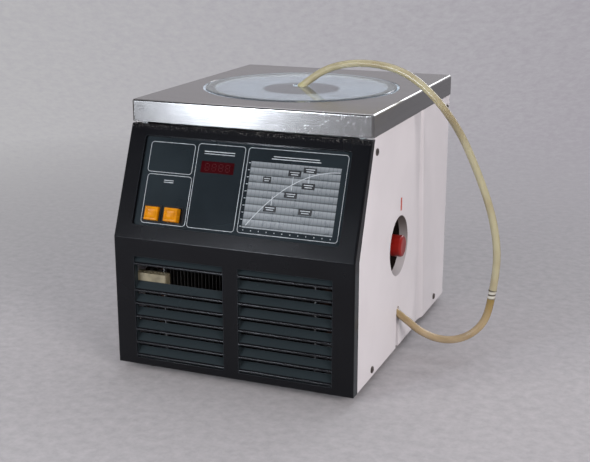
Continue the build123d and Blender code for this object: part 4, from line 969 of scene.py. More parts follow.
BLOCK_FACES = [
    [0, 1, 3, 2],
    [4, 6, 7, 5],
    [0, 4, 5, 1],
    [2, 3, 7, 6],
    [0, 2, 6, 4],
    [1, 5, 7, 3],
]


def block_points(spans: np.ndarray) -> np.ndarray:
    """Works out the corners of many blocks.

    Each corner takes the low or the high value of each axis, by the bits of its number.

    Args:
        spans: blocks by three axes by low and high.

    Returns:
        Blocks by eight corners by three.
    """
    bits = np.arange(8)[:, None] >> np.array([2, 1, 0])[None, :] & 1
    return spans[:, np.arange(3)[None, :], bits]


def centred(x: float, up: float, wide: float, tall: float) -> Quad:
    """Returns the left, right, low and high edges of a bar about its middle."""
    return (x - wide / 2, x + wide / 2, up - tall / 2, up + tall / 2)


def many(points: np.ndarray, faces: list[list[int]]) -> tuple[np.ndarray, list[list[int]]]:
    """Gathers equal shapes into one mesh.

    Args:
        points: the shapes' points, as shapes by points by three.
        faces: the faces of one shape.

    Returns:
        All points in rows, and all faces.
    """
    count, each = points.shape[:2]
    starts = range(0, count * each, each)
    gathered = [[index + start for index in face] for start in starts for face in faces]
    return points.reshape(-1, 3), gathered


def mesh_object(
    name: str, points: np.ndarray, faces: list[list[int]], sharp: float = 30.0
) -> Object:
    """Makes an object from points and faces, with its faces turned outwards.

    Args:
        name: the piece's name.
        points: its points in metres, one to a row.
        faces: the point numbers of each face.
        sharp: edges that bend more than this many degrees stay crisp.

    Returns:
        The object, at the origin.
    """
    mesh = bpy.data.meshes.new(name)
    mesh.from_pydata(points.tolist(), [], faces)
    shell = bmesh.new()
    shell.from_mesh(mesh)
    bmesh.ops.recalc_face_normals(shell, faces=shell.faces)
    shell.to_mesh(mesh)
    shell.free()
    mesh.shade_smooth()
    mesh.set_sharp_from_angle(angle=radians(sharp))
    piece = bpy.data.objects.new(name, mesh)
    bpy.context.scene.collection.objects.link(piece)
    return piece


@dataclass(frozen=True)
class WorkPlane:
    """A flat working place: its origin and axes turn local millimetres into metres."""

    origin: Point
    x_axis: Point
    y_axis: Point
    z_axis: Point

    def place(self, points: np.ndarray) -> np.ndarray:
        """Moves rows of local x, y and height to the machine's frame, in metres."""
        axes = np.array((self.x_axis, self.y_axis, self.z_axis))
        return (np.array(self.origin) + points @ axes) * MM


# The control panel's slope: x across, y up the slope from the knee, height outwards.
SLOPE = WorkPlane(
    (0, -263.5, 216.5), (1, 0, 0), (0, 0.390841, 0.920458), (0, -0.920458, 0.390841)
)
# The right side's outer face, seen from outside: x towards the back, y up.
RIGHT_SIDE = WorkPlane((194.0, 0, 0), (0, 1, 0), (0, 0, 1), (1, 0, 0))
# The left side's outer face, seen from outside: x towards the front, y up.
LEFT_SIDE = WorkPlane((-194.0, 0, 0), (0, -1, 0), (0, 0, 1), (-1, 0, 0))


# ---------------------------------------------------------------- what sub-assemblies share
class Body(Enum):
    """The bodies that pieces ride on."""

    MACHINE = "machine"
    LEFT_BUTTON = "left_button"
    RIGHT_BUTTON = "right_button"
    KNOB = "drain_handle"


@dataclass(frozen=True)
class Skin:
    """A copy with rounded edges that stands in a node's place."""

    node: str
    finish: Finish
    slot: str
    edge_mm: float = 0.4  # width of the round, or 0 for none
    body: Body = Body.MACHINE


@dataclass
class SubAssembly:
    """What every sub-assembly shares: how it dresses nodes and adds pieces."""

    skins: tuple[Skin, ...] = ()
    coats: tuple[tuple[Finish, tuple[str, ...]], ...] = ()  # on nodes that keep their own mesh
    merge_within: float = 1e-6  # in metres
    flat_degrees: float = 0.4  # faces that bend less than this become one
    edge_degrees: float = 35.0  # edges that bend more than this get a round

    def build(self) -> None:
        """Dresses the sub-assembly's nodes and adds its new pieces."""
        for skin in self.skins:
            self.soften(skin)
        for finish, nodes in self.coats:
            for node in nodes:
                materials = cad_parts[node].data.materials
                materials.clear()
                materials.append(finish.material())
                LOG.info("%s: %s", node, finish.name)
        self.add_pieces()

    def add_pieces(self) -> None:
        """Adds new pieces, where a sub-assembly has them."""

    def finish_piece(
        self,
        piece: Object,
        finish: Finish,
        slot: str,
        replaced: Sequence[str] = (),
        body: Body = Body.MACHINE,
    ) -> Object:
        """Gives a new piece its finish and its body.

        Args:
            piece: the piece.
            finish: its surface.
            slot: the record's material slot; not used.
            replaced: the nodes that it stands for.
            body: the body it rides on.

        Returns:
            The piece.
        """
        piece.data.materials.clear()
        piece.data.materials.append(finish.material())
        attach(piece, body.value)
        if replaced:
            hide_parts(*replaced)
        LOG.info("%s: %s", piece.name, finish.name)
        return piece

    def soften(self, skin: Skin) -> None:
        """Makes a skin.

        The copy's loose triangles are merged, flat areas become single faces, and each edge
        that bends sharply gets a small round. Shading follows the large faces.

        Args:
            skin: what the skin stands for and how it looks.
        """
        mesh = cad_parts[skin.node].data.copy()
        shell = bmesh.new()
        shell.from_mesh(mesh)
        bmesh.ops.remove_doubles(shell, verts=shell.verts, dist=self.merge_within)
        flat = radians(self.flat_degrees)
        bmesh.ops.dissolve_limit(shell, angle_limit=flat, verts=shell.verts, edges=shell.edges)
        shell.to_mesh(mesh)
        shell.free()
        mesh.shade_smooth()
        mesh.set_sharp_from_angle(angle=radians(self.edge_degrees))
        piece = bpy.data.objects.new(f"{skin.node}_skin", mesh)
        bpy.context.scene.collection.objects.link(piece)
        if skin.edge_mm > 0:
            bevel = piece.modifiers.new("rounded_edges", "BEVEL")
            bevel.width = skin.edge_mm * MM
            bevel.segments = 2
            bevel.limit_method = "ANGLE"
            bevel.angle_limit = radians(self.edge_degrees)
        weighted = piece.modifiers.new("flat_faces_stay_flat", "WEIGHTED_NORMAL")
        weighted.weight = 100
        weighted.keep_sharp = True
        self.finish_piece(piece, skin.finish, skin.slot, (skin.node,), skin.body)


# ---------------------------------------------------------------- studio
@dataclass(frozen=True)
class Lamp:
    """A soft lamp: a lit panel that looks at a point."""

    name: str
    place: Point
    target: Point
    width: float
    height: float
    watts: float
    tint: str = "#ffffff"
    mirrored: bool = True  # whether glossy surfaces show it

    def build(self) -> None:
        """Hangs the lamp and aims it."""
        light = bpy.data.lights.new(self.name, "AREA")
        light.shape = "RECTANGLE"
        light.size, light.size_y = self.width, self.height
        light.energy = self.watts
        light.color = linear(self.tint)[:3]
        lamp = bpy.data.objects.new(self.name, light)
        lamp.location = self.place
        aim = Vector(self.target) - Vector(self.place)
        lamp.rotation_euler = aim.to_track_quat("-Z", "Y").to_euler()
        lamp.visible_glossy = self.mirrored
        bpy.context.scene.collection.objects.link(lamp)


@dataclass
class Studio:
    """A pale floor, soft lamps, a mottled canvas all round and the camera."""

    camera_place: Point = (0.6716, -1.6806, 0.6885)
    camera_turn: Point = (74.17, 0.0, 21.84)
    lens: float = 68.3
    sensor: float = 36.0
    clip: Pair = (0.05, 60.0)
    floor_radius: float = 15.0
    floor_points: int = 96
    floor_tones: tuple[str, str] = ("#a09ea0", "#b4b1b3")
    floor_roughness: float = 0.85
    floor_mottle: float = 60.0
    floor_fade: Pair = (0.5, 1.9)  # between these distances the canvas takes over
    canvas_mottle: float = 110.0
    canvas_spread: float = 0.34
    # painted shadow: the canvas darkens towards the side where the machine's shadow falls
    canvas_shade_way: Point = (0.93, 0.37, 0.0)  # the way in which the canvas gets darker
    canvas_tones: tuple[str, str, str] = ("#b9b8ba", "#b0aeb3", "#a5a1a8")
    room_light: str = "#c9c9cc"
    room_strength: float = 0.5
    backdrop: str = "#b0adb2"
    dark_side: str = "#232428"
    mirrored_floor: str = "#88868b"
    pale_back: Pair = (-0.7, 0.5)  # towards the back, where mirrors see the backdrop
    pale_low: Pair = (0.32, 0.42)  # from the top of the low band up to where it ends
    pale_low_share: float = 0.7
    lamps: tuple[Lamp, ...] = (
        Lamp("key_softbox", (-1.45, -1.95, 0.95), (0, 0, 0.2), 0.7, 0.5, 24.0, "#fffaf4", False),
        Lamp("top_softbox", (0.1, 0.7, 2.8), (0, 0, 0.3), 3.0, 2.2, 24.0, "#f6f8ff"),
        Lamp("strip_softbox", (-0.885, -2.0, 0.42), (0, -0.1, 0.3), 0.24, 0.8, 6.0, "#eaf2ff"),
        Lamp("glint_softbox", (-0.71, -2.0, 0.75), (0, -0.26, 0.1), 0.14, 0.3, 11.0, "#eef4ff"),
        Lamp("side_softbox", (2.1, -1.6, 1.1), (0.1, 0, 0.25), 1.1, 1.0, 48.0, "#fff8f8", False),
        Lamp("rim_softbox", (0.7, 2.7, 1.5), (0.1, 0, 0.4), 1.4, 0.7, 18.0, "#f8faff"),
    )

    def camera(self) -> None:
        """Sets the camera up."""
        data = bpy.data.cameras.new("camera")
        data.lens = self.lens
        data.sensor_width = self.sensor
        data.sensor_fit = "HORIZONTAL"
        data.clip_start, data.clip_end = self.clip
        camera = bpy.data.objects.new("camera", data)
        camera.location = self.camera_place
        camera.rotation_euler = Euler([radians(turn) for turn in self.camera_turn])
        bpy.context.scene.collection.objects.link(camera)
        bpy.context.scene.camera = camera

    def seen_directly(self, tree: NodeTree) -> Node:
        """Returns 1 for what the eye, a mirror or clear stuff sees, and 0 for lit surfaces.

        Args:
            tree: the material's tree.

        Returns:
            The share's node.
        """
        rays = add_node(tree, "LightPath").outputs
        eye, mirror = rays["Is Camera Ray"], rays["Is Glossy Ray"]
        seen = add_node(tree, "Math", eye, mirror, operation="MAXIMUM")
        return add_node(tree, "Math", seen, rays["Is Transmission Ray"], operation="MAXIMUM")

    def mottle(self, tree: NodeTree, place: Socket, scale: float) -> Node:
        """Returns fine cloudy patches, from 0 to 1."""
        inputs = {"Vector": place, "Scale": scale, "Detail": 6.0, "Roughness": 0.7}
        return add_node(tree, "TexNoise", inputs)

    def canvas(self, tree: NodeTree, way: Socket) -> Node:
        """Paints the backdrop's mottled canvas, with painted shadow that darkens it a little
        towards one side.

        Args:
            tree: the material's tree.
            way: the direction in which the canvas lies.

        Returns:
            The canvas's colour.
        """
        aside = add_node(tree, "VectorMath", way, self.canvas_shade_way, operation="DOT_PRODUCT")
        mottle = self.mottle(tree, way, self.canvas_mottle)
        wide = self.canvas_spread
        spread = add_node(tree, "MapRange", mottle, 0.25, 0.75, -wide, wide)
        along = add_node(tree, "Math", aside, spread, operation="ADD")
        place = add_node(tree, "MapRange", along, -0.5, 0.5)
        stops = tuple(zip((0.0, 0.5, 1.0), self.canvas_tones))
        return add_node(tree, "ValToRGB", place, stops=stops)

    def floor(self) -> None:
        """Lays a round floor: paint near the machine, and the canvas's tones far from it.

        The rim's points lie on a circle at equal angles. The canvas follows the direction
        from a point a metre over the machine's foot.
        """
        angle = np.linspace(0, 2 * np.pi, self.floor_points, endpoint=False)
        rim = raised(np.stack((np.cos(angle), np.sin(angle)), axis=-1) * self.floor_radius, 0.0)
        floor = mesh_object("floor", rim, [list(range(self.floor_points))])
        material, tree = blank("Studio_floor_matt_paint")
        place = add_node(tree, "TexCoord").outputs["Object"]
        mottle = self.mottle(tree, place, self.floor_mottle)
        tone = add_node(tree, "ValToRGB", mottle, stops=tuple(zip((0.3, 0.7), self.floor_tones)))
        inputs = {"Base Color": tone, "Roughness": self.floor_roughness}
        paint = add_node(tree, "BsdfPrincipled", inputs)
        camera_ray = add_node(tree, "LightPath").outputs["Is Camera Ray"]
        lifted = add_node(tree, "VectorMath", place, (0.0, 0.0, -1.0), operation="ADD")
        way = add_node(tree, "VectorMath", lifted, operation="NORMALIZE").outputs["Vector"]
        canvas = self.canvas(tree, way)
        colour = add_node(
            tree, "Mix", camera_ray, self.mirrored_floor, canvas, data_type="RGBA"
        )
        pale = add_node(tree, "Emission", colour, 1.0)
        away = add_node(tree, "VectorMath", place, operation="LENGTH")
        beyond = add_node(tree, "MapRange", away, *self.floor_fade)
        far = add_node(tree, "Math", beyond, self.seen_directly(tree), operation="MULTIPLY")
        mixed = add_node(tree, "MixShader", far, paint, pale)
        add_node(tree, "OutputMaterial", mixed)
        floor.data.materials.append(material)

    def sky(self) -> None:
        """Gives the room its canvas, its weak light all round and what mirrors see.

        A mirror sees the pale backdrop towards the back and low down, and the dark side of
        the room elsewhere.
        """
        world = bpy.data.worlds.new("studio_room")
        bpy.context.scene.world = world
        world.use_nodes = True
        tree = world.node_tree
        tree.nodes.clear()
        lit = {"Color": self.room_light, "Strength": self.room_strength}
        way = add_node(tree, "TexCoord").outputs["Generated"]
        split = add_node(tree, "SeparateXYZ", way).outputs
        low_band = add_node(
            tree, "MapRange", split["Z"], *self.pale_low, self.pale_low_share, 0.0
        )
        towards_back = add_node(tree, "MapRange", split["Y"], *self.pale_back)
        pale = add_node(tree, "Math", towards_back, low_band, operation="MAXIMUM")
        stops = ((0.0, self.dark_side), (1.0, self.backdrop))
        behind = add_node(tree, "ValToRGB", pale, stops=stops)
        camera_ray = add_node(tree, "LightPath").outputs["Is Camera Ray"]
        canvas = self.canvas(tree, way)
        colour = add_node(tree, "Mix", camera_ray, behind, canvas, data_type="RGBA")
        seen = add_node(tree, "Background", {"Color": colour, "Strength": 1.0})
        room = add_node(tree, "Background", lit)
        mixed = add_node(tree, "MixShader", self.seen_directly(tree), room, seen)
        add_node(tree, "OutputWorld", {"Surface": mixed})

    def light(self) -> None:
        """Hangs the lamps, the floor and the room."""
        self.floor()
        self.sky()
        for lamp in self.lamps:
            lamp.build()
        bpy.context.scene.view_settings.view_transform = "Standard"


# ---------------------------------------------------------------- drain hose
@dataclass
class DrainHose(SubAssembly):
    """The clear drain hose: out of the side, up through its joiner and over to the lid."""

    radius: float = 0.006
    steps_along: int = 14
    steps_around: int = 6
    lower: tuple[Point, ...] = (
        (0.168, -0.0465, 0.0875),
        (0.206, -0.0449, 0.0635),
        (0.229, -0.0432, 0.045),
        (0.2568, -0.042, 0.035),
        (0.283, -0.0405, 0.035),
        (0.3075, -0.0385, 0.0445),
        (0.327, -0.0365, 0.0625),
        (0.338, -0.0345, 0.086),
        (0.341, -0.033, 0.11),
    )
    upper: tuple[Point, ...] = (
        (0.3428, -0.0321, 0.1244),
        (0.3458, -0.0306, 0.1484),
        (0.346, -0.028, 0.185),
        (0.3395, -0.0255, 0.222),
        (0.329, -0.023, 0.257),
        (0.3145, -0.02, 0.291),
        (0.2985, -0.017, 0.325),
        (0.28, -0.013, 0.359),
        (0.257, -0.0085, 0.39),
        (0.23, -0.004, 0.418),
        (0.199, 0.001, 0.4415),
        (0.165, 0.006, 0.4555),
        (0.128, 0.011, 0.4605),
        (0.091, 0.0155, 0.4595),
        (0.056, 0.019, 0.4515),
        (0.0286, 0.0215, 0.4381),
        (0.00715, 0.023, 0.421525),
    )
    # Radius and height, in millimetres, of the joiner's rings from an end to its waist.
    rib: tuple[Pair, ...] = ((0.4, 0), (6.2, 0), (6.6, 0.4), (6.6, 2.2), (6.1, 2.7), (5.9, 3.4))
    rib_points: int = 40

    def tube(self, name: str, points: Sequence[Point]) -> Object:
        """Makes one length of hose: a circle carried along a smooth line near its points.

        Args:
            name: the piece's name.
            points: the line's control points.

        Returns:
            The curve object.
        """
        curve = bpy.data.curves.new(name, "CURVE")
        curve.dimensions = "3D"
        spline = curve.splines.new("NURBS")
        spline.points.add(len(points) - 1)
        rows = np.column_stack((np.array(points), np.ones(len(points))))
        spline.points.foreach_set("co", rows.ravel())
        spline.order_u = 3
        spline.use_endpoint_u = True
        curve.resolution_u = self.steps_along
        curve.bevel_depth = self.radius
        curve.bevel_resolution = self.steps_around
        curve.use_fill_caps = True
        hose = bpy.data.objects.new(name, curve)
        bpy.context.scene.collection.objects.link(hose)
        return hose

    def joiner(self) -> Object:
        """Turns the nylon joiner's collar about the line between the two hoses' ends.

        The rings run from one end's rib to the waist, and back in reverse to the other end.

        Returns:
            The collar.
        """
        start, end = Vector(self.lower[-1]), Vector(self.upper[0])
        way = (end - start).normalized()
        side = way.cross(Vector((0, 1, 0))).normalized()
        length = (end - start).length / MM
        low = np.array(self.rib)
        high = low[::-1] * (1, -1) + (0, length)
        profile = np.concatenate((low, high))
        plane = WorkPlane(tuple(start / MM), tuple(side), tuple(way.cross(side)), tuple(way))
        points = plane.place(turned_points(profile, self.rib_points))
        faces = ring_faces(len(profile), self.rib_points)
        piece = mesh_object("hose_joiner_collar", points, faces)
        return self.finish_piece(piece, JOINER_NYLON, "joiner_white", ("hose_joiner",))

    def add_pieces(self) -> None:
        """Makes both lengths of hose and the joiner between them."""
        low = self.tube("drain_hose_lower", self.lower)
        high = self.tube("drain_hose_upper", self.upper)
        self.finish_piece(low, VINYL_TAN, "hose_tan", ("hose_lower",))
        self.finish_piece(high, VINYL_GREEN, "hose_green", ("hose_upper",))
        joiner = self.joiner()


# ---------------------------------------------------------------- tray, lid and cold trap
@dataclass
class ColdTrap(SubAssembly):
    """The stainless tray, the clear lid over the cold trap and what is welded under it."""

    skins: tuple[Skin, ...] = (
        Skin("top_cover", SATIN_STAINLESS, "tray_steel", 0.3),
        Skin("chamber_lid", CAST_ACRYLIC, "lid_acrylic", 0.9),
        Skin("lid_gasket", SILICONE, "gasket_silicone"),
        Skin("mouth_trim", TRIM_IN_BLUE_SHADE, "trim_black", 0.5),
        Skin("lid_nipple", YELLOWED_NYLON, "fitting_nylon", 0.3),
        Skin("chamber_flange", BLASTED_STAINLESS, "tray_steel", 0),
        Skin("chamber_wall", SHADED_DRAWN_STAINLESS, "tray_steel", 0),
        Skin("chamber_floor", SHADED_DRAWN_STAINLESS, "tray_steel", 0),
        Skin("vacuum_port", TURNED_STAINLESS, "port_steel", 0.3),
    )
    coats: tuple[tuple[Finish, tuple[str, ...]], ...] = (
        (FOAM, ("chamber_insulation",)),
        (SHADED_COPPER, ("evaporator_coil",)),
    )


# ---------------------------------------------------------------- front and control panel
@dataclass(frozen=True)
class Cap:
    """A button's square cap: its middle and its top, and what carries it."""

    name: str
    node: str
    body: Body
    x: float
    top: float


@dataclass
class ControlPanel(SubAssembly):
    """The black front moulding, the glossy overlay with its chart, and the two buttons.

    Places are in millimetres across and up the slope. The overlay's face lies 5 below the
    slope's own plane, and each print has the heights of its bottom and its top.
    """

    skins: tuple[Skin, ...] = (
        Skin("front_bezel", FRONT_ABS, "front_moulding", 0.3),
        Skin("control_fascia", OVERLAY, "panel_overlay", 0.15),
        Skin("display_window", RED_FILTER, "display_filter", 0.2),
        Skin("switch_housing_left", BLACK_TRIM, "trim_black", 0.3),
        Skin("switch_housing_right", BLACK_TRIM, "trim_black", 0.3),
    )
    ink: Pair = (-5.02, -4.88)
    chart_sheet: Pair = (-5.02, -4.94)
    chart_curve: Pair = (-4.98, -4.87)
    label_box: Pair = (-5.0, -4.9)
    label_ink: Pair = (-4.95, -4.86)
    pointer: Pair = (-5.0, -4.88)
    segment: Pair = (-5.32, -5.24)
    line: float = 0.8
    corner: float = 5.0
    # Left, right, low and high edges of each outlined field of the overlay.
    fields: tuple[Quad, ...] = (
        (-157.0, -82.0, 105.0, 152.0),
        (-155.0, -80.0, 26.0, 102.0),
        (-77.5, 0.5, 26.0, 154.5),
        (5.0, 162.0, 26.5, 154.5),
    )
    titles: tuple[Quad, ...] = (
        (-66.0, -16.0, 142.4, 143.7),
        (-66.0, -16.0, 138.9, 140.0),
        (-126.0, -110.0, 93.0, 94.1),
        (-126.0, -110.0, 90.0, 91.1),
        (46.0, 118.0, 142.9, 144.1),
        (43.5, 120.5, 139.4, 140.6),
    )
    chart: Quad = (12.0, 153.0, 35.0, 134.0)
    row_ticks: tuple[float, float, int] = (36.0, 131.0, 10)  # first, last and how many
    row_tick: Point = (8.2, 11.4, 0.9)  # left end, right end and thickness
    column_ticks: tuple[float, float, int] = (14.0, 150.0, 12)
    column_tick: Point = (30.6, 32.2, 1.2)  # low end, high end and thickness
    # Middle across and up, width and height of each label on the chart.
    labels: tuple[Quad, ...] = (
        (40.7, 108.6, 13.0, 9.0),
        (82.6, 121.0, 20.0, 9.0),
        (105.8, 127.1, 20.0, 8.4),
        (106.2, 103.9, 20.0, 9.0),
        (81.0, 89.0, 20.0, 9.0),
        (51.7, 66.2, 20.0, 9.0),
        (106.9, 66.2, 21.0, 9.0),
    )
    label_line: float = 1.2
    label_lead: float = 1.6  # from a label's middle to each of its two lines
    label_shares: Pair = (0.72, 0.56)  # of a label's width, the upper and the lower line
    pointers: tuple[Quad, ...] = (
        (80.6, 81.4, 96.0, 116.5),
        (105.2, 106.0, 108.6, 122.8),
        (52.6, 53.4, 71.0, 85.0),
    )
    # Shares of the chart's width and height that the rising curve is fitted to.
    knots: tuple[Pair, ...] = (
        (0.04, 0.04),
        (0.34, 0.52),
        (0.51, 0.74),
        (0.68, 0.84),
        (0.85, 0.91),
        (0.99, 0.94),
    )
    curve_points: int = 40
    curve_half: float = 0.55
    window: Pair = (-41.5, 119.5)
    digits: int = 4
    digit_pitch: float = 11.2
    digit_wide: float = 6.4
    digit_tall: float = 10.4
    digit_thick: float = 1.0
    digit_gap: float = 0.9  # that a flat segment stops short at each end
    digit_side_gap: float = 0.8
    caps: tuple[Cap, ...] = (
        Cap("left_cap", "button_left", Body.LEFT_BUTTON, -136.5, 1.5),
        Cap("right_cap", "button_right", Body.RIGHT_BUTTON, -101.5, 6.5),
    )
    cap_up: float = 41.0
    cap_half: Pair = (11.25, 10.5)
    cap_sharp: float = 50.0  # edges of a cap that bend more than this stay crisp
    # Inset, depth below the top and corner radius of each ring of a cap.
    cap_rings: tuple[Point, ...] = (
        (0.6, 24.0, 0.6),
        (0.0, 23.4, 0.8),
        (0.0, 1.6, 0.9),
        (0.25, 0.8, 0.9),
        (1.1, 0.0, 1.2),
        (3.0, 0.0, 1.2),
        (3.5, 0.7, 1.4),
        (7.5, 0.75, 0.9),
    )

    def outlines(self) -> None:
        """Prints a line with round corners about each field of the overlay.

        Each line is a ring whose section is a flat rectangle: the outer and the inner loop,
        low and high.
        """
        bottom, top = self.ink
        shapes = []
        for left, right, low, high in self.fields:
            middle = ((left + right) / 2, (low + high) / 2)
            half_x, half_y, line = (right - left) / 2, (high - low) / 2, self.line
            outer = rounded_loop(half_x, half_y, self.corner) + middle
            inner = rounded_loop(half_x - line, half_y - line, self.corner - line) + middle
            section = ((outer, bottom), (outer, top), (inner, top), (inner, bottom))
            shapes.append(np.concatenate([raised(loop, height) for loop, height in section]))
        faces = grid_quads(len(section), len(outer), closed=True)
        points, gathered = many(np.stack(shapes), faces)
        piece = mesh_object("overlay_outlines", SLOPE.place(points), gathered)
        self.finish_piece(piece, PALE_INK, "panel_overlay")

    def slabs(
        self,
        name: str,
        finish: Finish,
        *layers: tuple[Sequence[Quad], Pair],
        slot: str = "panel_overlay",
    ) -> Object:
        """Prints flat bars on the overlay.

        Args:
            name: the piece's name.
            finish: the ink.
            *layers: bars by their left, right, low and high edges, with their heights.
            slot: the record's material slot.

        Returns:
            The piece.
        """
        rows = [(*bar, *heights) for bars, heights in layers for bar in bars]
        points, faces = many(block_points(np.array(rows).reshape(-1, 3, 2)), BLOCK_FACES)
        piece = mesh_object(name, SLOPE.place(points), faces)
        return self.finish_piece(piece, finish, slot)

    def bars(self) -> None:
        """Prints the plain bars that stand for titles and the chart's ticks."""
        left, right, thick = self.row_tick
        rows = [(left, right, up, up + thick) for up in np.linspace(*self.row_ticks)]
        low, high, wide = self.column_tick
        columns = [(x, x + wide, low, high) for x in np.linspace(*self.column_ticks)]
        self.slabs("overlay_bars", PALE_INK, ([*self.titles, *rows, *columns], self.ink))

    def lay_chart(self) -> None:
        """Lays the printed chart as a thin plate, with its own UV map from corner to corner.

        A point's share of the width and of the height are its two map coordinates.
        """
        left, right, low, high = self.chart
        piece = self.slabs("overlay_chart", CHART, ([self.chart], self.chart_sheet))
        mesh = piece.data
        place = np.empty(len(mesh.vertices) * 3)
        mesh.vertices.foreach_get("co", place)
        place = place.reshape(-1, 3) / MM
        corner = np.empty(len(mesh.loops), dtype=np.int32)
        mesh.loops.foreach_get("vertex_index", corner)
        across = (place[:, 0] - left) / (right - left)
        up = ((place[:, 2] - SLOPE.origin[2]) / SLOPE.y_axis[2] - low) / (high - low)
        flat = np.stack((across, up), axis=-1)[corner]
        layer = mesh.uv_layers.new(name="chart")
        layer.data.foreach_set("uv", flat.ravel().astype(np.float32))

    def chart_labels(self) -> None:
        """Prints the chart's dark label boxes, two pale lines in each, and the pointers."""
        boxes = [centred(*label) for label in self.labels]
        self.slabs("chart_label_boxes", DARK_INK, (boxes, self.label_box))
        lines = [
            centred(x, up + lead, wide * share, self.label_line)
            for x, up, wide, _ in self.labels
            for lead, share in zip((self.label_lead, -self.label_lead), self.label_shares)
        ]
        layers = ((lines, self.label_ink), (self.pointers, self.pointer))
        self.slabs("chart_label_bars", PALE_INK, *layers)

    def rising_curve(self) -> None:
        """Prints the chart's rising curve.

        A cubic is fitted to the knots, and a flat rectangular section is carried along it,
        square to its slope.
        """
        left, right, low, high = self.chart
        knots = np.array(self.knots)
        across = np.linspace(knots[0, 0], knots[-1, 0], self.curve_points)
        rise = np.polyval(np.polyfit(knots[:, 0], knots[:, 1], 3), across)
        x, up = left + across * (right - left), low + rise * (high - low)
        slope = np.stack((-np.gradient(up), np.gradient(x)), axis=-1)
        side = slope / np.linalg.norm(slope, axis=1, keepdims=True) * self.curve_half
        line = np.stack((x, up), axis=-1)
        bottom, top = self.chart_curve
        left_edge, right_edge = line + side, line - side
        section = (
            (left_edge, bottom),
            (left_edge, top),
            (right_edge, top),
            (right_edge, bottom),
        )
        rings = np.stack([raised(edge, height) for edge, height in section], axis=1)
        faces = ring_faces(self.curve_points, len(section))
        piece = mesh_object("chart_curve", SLOPE.place(rings.reshape(-1, 3)), faces)
        self.finish_piece(piece, PALE_INK, "panel_overlay")

    def window_digits(self) -> None:
        """Lays the digits' unlit segments on the window's face: three flat, four upright."""
        middle, up = self.window
        wide, tall, thick = self.digit_wide, self.digit_tall, self.digit_thick
        bars = []
        for digit in range(self.digits):
            x = middle + (digit - (self.digits - 1) / 2) * self.digit_pitch
            for rise in (-tall / 2, 0, tall / 2):
                bars.append(centred(x, up + rise, wide - 2 * self.digit_gap, thick))
            for side in (-wide / 2, wide / 2):
                for rise in (-tall / 4, tall / 4):
                    upright = tall / 2 - 2 * self.digit_side_gap
                    bars.append(centred(x + side, up + rise, thick, upright))
        layer = (bars, self.segment)
        self.slabs("window_digits", DIGIT_SEGMENT, layer, slot="display_filter")

    def mould_cap(self, cap: Cap) -> None:
        """Moulds a square cap: a stack of rounded squares, bevelled, with a dished centre.

        Args:
            cap: the cap's place and what carries it.
        """
        half_x, half_y = self.cap_half
        loops = [
            raised(
                rounded_loop(half_x - inset, half_y - inset, corner) + (cap.x, self.cap_up),
                cap.top - depth,
            )
            for inset, depth, corner in self.cap_rings
        ]
        faces = ring_faces(len(loops), len(loops[0]))
        points = SLOPE.place(np.concatenate(loops))
        piece = mesh_object(cap.name, points, faces, self.cap_sharp)
        self.finish_piece(piece, AMBER_CAP, "button_amber", (cap.node,), cap.body)

    def add_pieces(self) -> None:
        """Prints the overlay and moulds the caps."""
        self.outlines()
        self.bars()
        self.lay_chart()
        self.chart_labels()
        self.rising_curve()
        self.window_digits()
        for cap in self.caps:
            self.mould_cap(cap)


# ---------------------------------------------------------------- sides
@dataclass
class SideSkins(SubAssembly):
    """The white side mouldings with their screws, and the drain knob in its well."""

    skins: tuple[Skin, ...] = (
        Skin("left_side_panel", WHITE_MOULDING, "side_moulding", 0.6),
        Skin("right_side_panel", WHITE_MOULDING, "side_moulding", 0.6),
        Skin("valve_well", WELL_BROWN, "trim_black", 0.3),
        Skin("drain_knob", RED_KNOB, "knob_red", 0.6, Body.KNOB),
    )
    coats: tuple[tuple[Finish, tuple[str, ...]], ...] = (
        (BRASS, ("valve_spindle", "drain_valve")),
    )
    screws: tuple[Pair, ...] = ((-172.5, 359.0), (-176.5, 24.0), (227.5, 362.0), (179.5, 27.0))
    # Radius and height of each ring, from the socket's floor over the head to the shank's tip.
    screw_rings: tuple[Pair, ...] = (
        (0.2, 0.7),
        (1.7, 0.8),
        (1.75, 2.05),
        (1.95, 2.2),
        (4.1, 2.1),
        (5.1, 1.6),
        (5.5, 0.9),
        (5.5, 0.0),
        (2.0, 0.0),
        (2.0, -8.0),
        (0.2, -8.4),
    )
    socket_rings: tuple[int, ...] = (1, 2)  # the rings that are hexagons
    screw_points: int = 36
    mark: Quad = (-44.0, -37.0, 240.0, 261.0)
    mark_heights: Pair = (-0.05, 0.1)

    def screw_heads(self) -> None:
        """Turns the screws: a domed head with a hexagonal socket, and a plain shank."""
        profile = np.array(self.screw_rings)
        flats = np.isin(np.arange(len(profile)), self.socket_rings)
        one = turned_points(profile, self.screw_points, flats)
        shapes = []
        for side, plane in ((1, RIGHT_SIDE), (-1, LEFT_SIDE)):
            shift = raised(np.array(self.screws) * (side, 1), 0.0)
            shapes.append(plane.place(one[None] + shift[:, None]))
        points, faces = many(
            np.concatenate(shapes), ring_faces(len(profile), self.screw_points)
        )
        piece = mesh_object("side_screw_heads", points, faces)
        self.finish_piece(piece, BROWN_PHOSPHATE, "screw_dark", ("panel_screws",))

    def index_mark(self) -> None:
        """Paints the thin red index line above the knob's hole."""
        span = np.array((*self.mark, *self.mark_heights)).reshape(1, 3, 2)
        points, faces = many(block_points(span), BLOCK_FACES)
        piece = mesh_object("knob_index_mark", RIGHT_SIDE.place(points), faces)
        self.finish_piece(piece, RED_PAINT, "knob_red")

    def add_pieces(self) -> None:
        """Turns the screws and paints the index line."""
        self.screw_heads()
        self.index_mark()


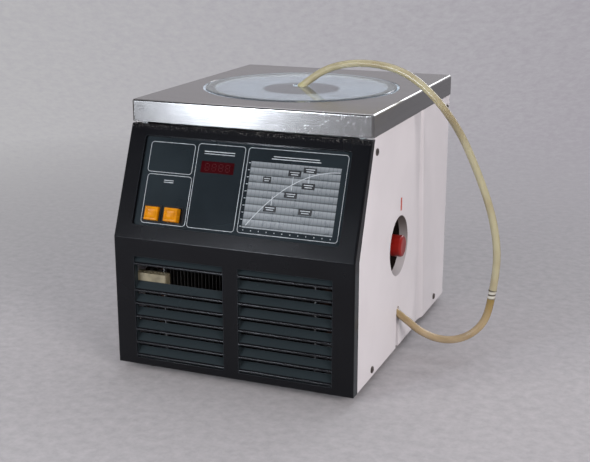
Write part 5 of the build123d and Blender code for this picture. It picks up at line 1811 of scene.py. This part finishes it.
# ---------------------------------------------------------------- chassis and rear
@dataclass
class Chassis(SubAssembly):
    """The folded frame, the pan, the feet and the rear panel with its inlet."""

    skins: tuple[Skin, ...] = (
        Skin("base_pan", GALVANISED, "galvanised_sheet", 0),
        Skin("side_frame_left", GALVANISED, "galvanised_sheet", 0),
        Skin("side_frame_right", GALVANISED, "galvanised_sheet", 0),
        Skin("electronics_plate", GALVANISED, "galvanised_sheet", 0),
        Skin("cross_rails", GALVANISED, "galvanised_sheet", 0),
        Skin("feet", NITRILE, "foot_rubber", 0.8),
        Skin("rear_panel", POWDER_COAT, "rear_paint", 0.2),
        Skin("mains_inlet", INLET_BLACK, "inlet_black", 0.3),
        Skin("chassis_fasteners", BLACK_OXIDE, "screw_dark"),
    )


@dataclass
class CoolingSet(SubAssembly):
    """The refrigeration set and the electrics, seen through the grilles and the vents."""

    skins: tuple[Skin, ...] = (
        Skin("compressor", BLACK_PAINT, "compressor_paint", 0.8),
        Skin("compressor_grommets", NITRILE, "foot_rubber", 0),
        Skin("terminal_block", SHADED_IVORY, "terminal_ivory"),
    )
    coats: tuple[tuple[Finish, tuple[str, ...]], ...] = (
        (FIN_IN_PAINTED_SHADE, ("condenser_fins",)),
        (GALVANISED, ("condenser_end_plates", "motor_bracket", "fan_shroud")),
        (SHADED_COPPER, ("condenser_tubes", "suction_line", "discharge_line", "liquid_line")),
        (SHADED_COPPER, ("capillary_tube", "filter_drier", "drain_pipe", "outlet_pipe")),
        (MOTOR_PAINT, ("fan_motor",)),
        (GROUND_STEEL, ("motor_shaft",)),
        (PRESSED_ALUMINIUM, ("fan_rotor",)),
        (CIRCUIT, ("control_board", "display_board")),
        (LAMINATIONS, ("transformer",)),
    )


def main() -> None:
    """Builds the machine, sub-assembly by sub-assembly."""
    logging.basicConfig(level=logging.INFO, format="%(name)s %(message)s")
    studio = Studio()
    studio.camera()
    builders: tuple[tuple[str, Callable[[], None]], ...] = (
        ("drain hose", DrainHose().build),
        ("studio", studio.light),
        ("tray and cold trap", ColdTrap().build),
        ("front and control panel", ControlPanel().build),
        ("sides and drain knob", SideSkins().build),
        ("chassis and rear", Chassis().build),
        ("cooling set and electrics", CoolingSet().build),
    )
    for title, build in builders:
        LOG.info("building the %s", title)
        build()


if __name__ == "__main__":
    main()
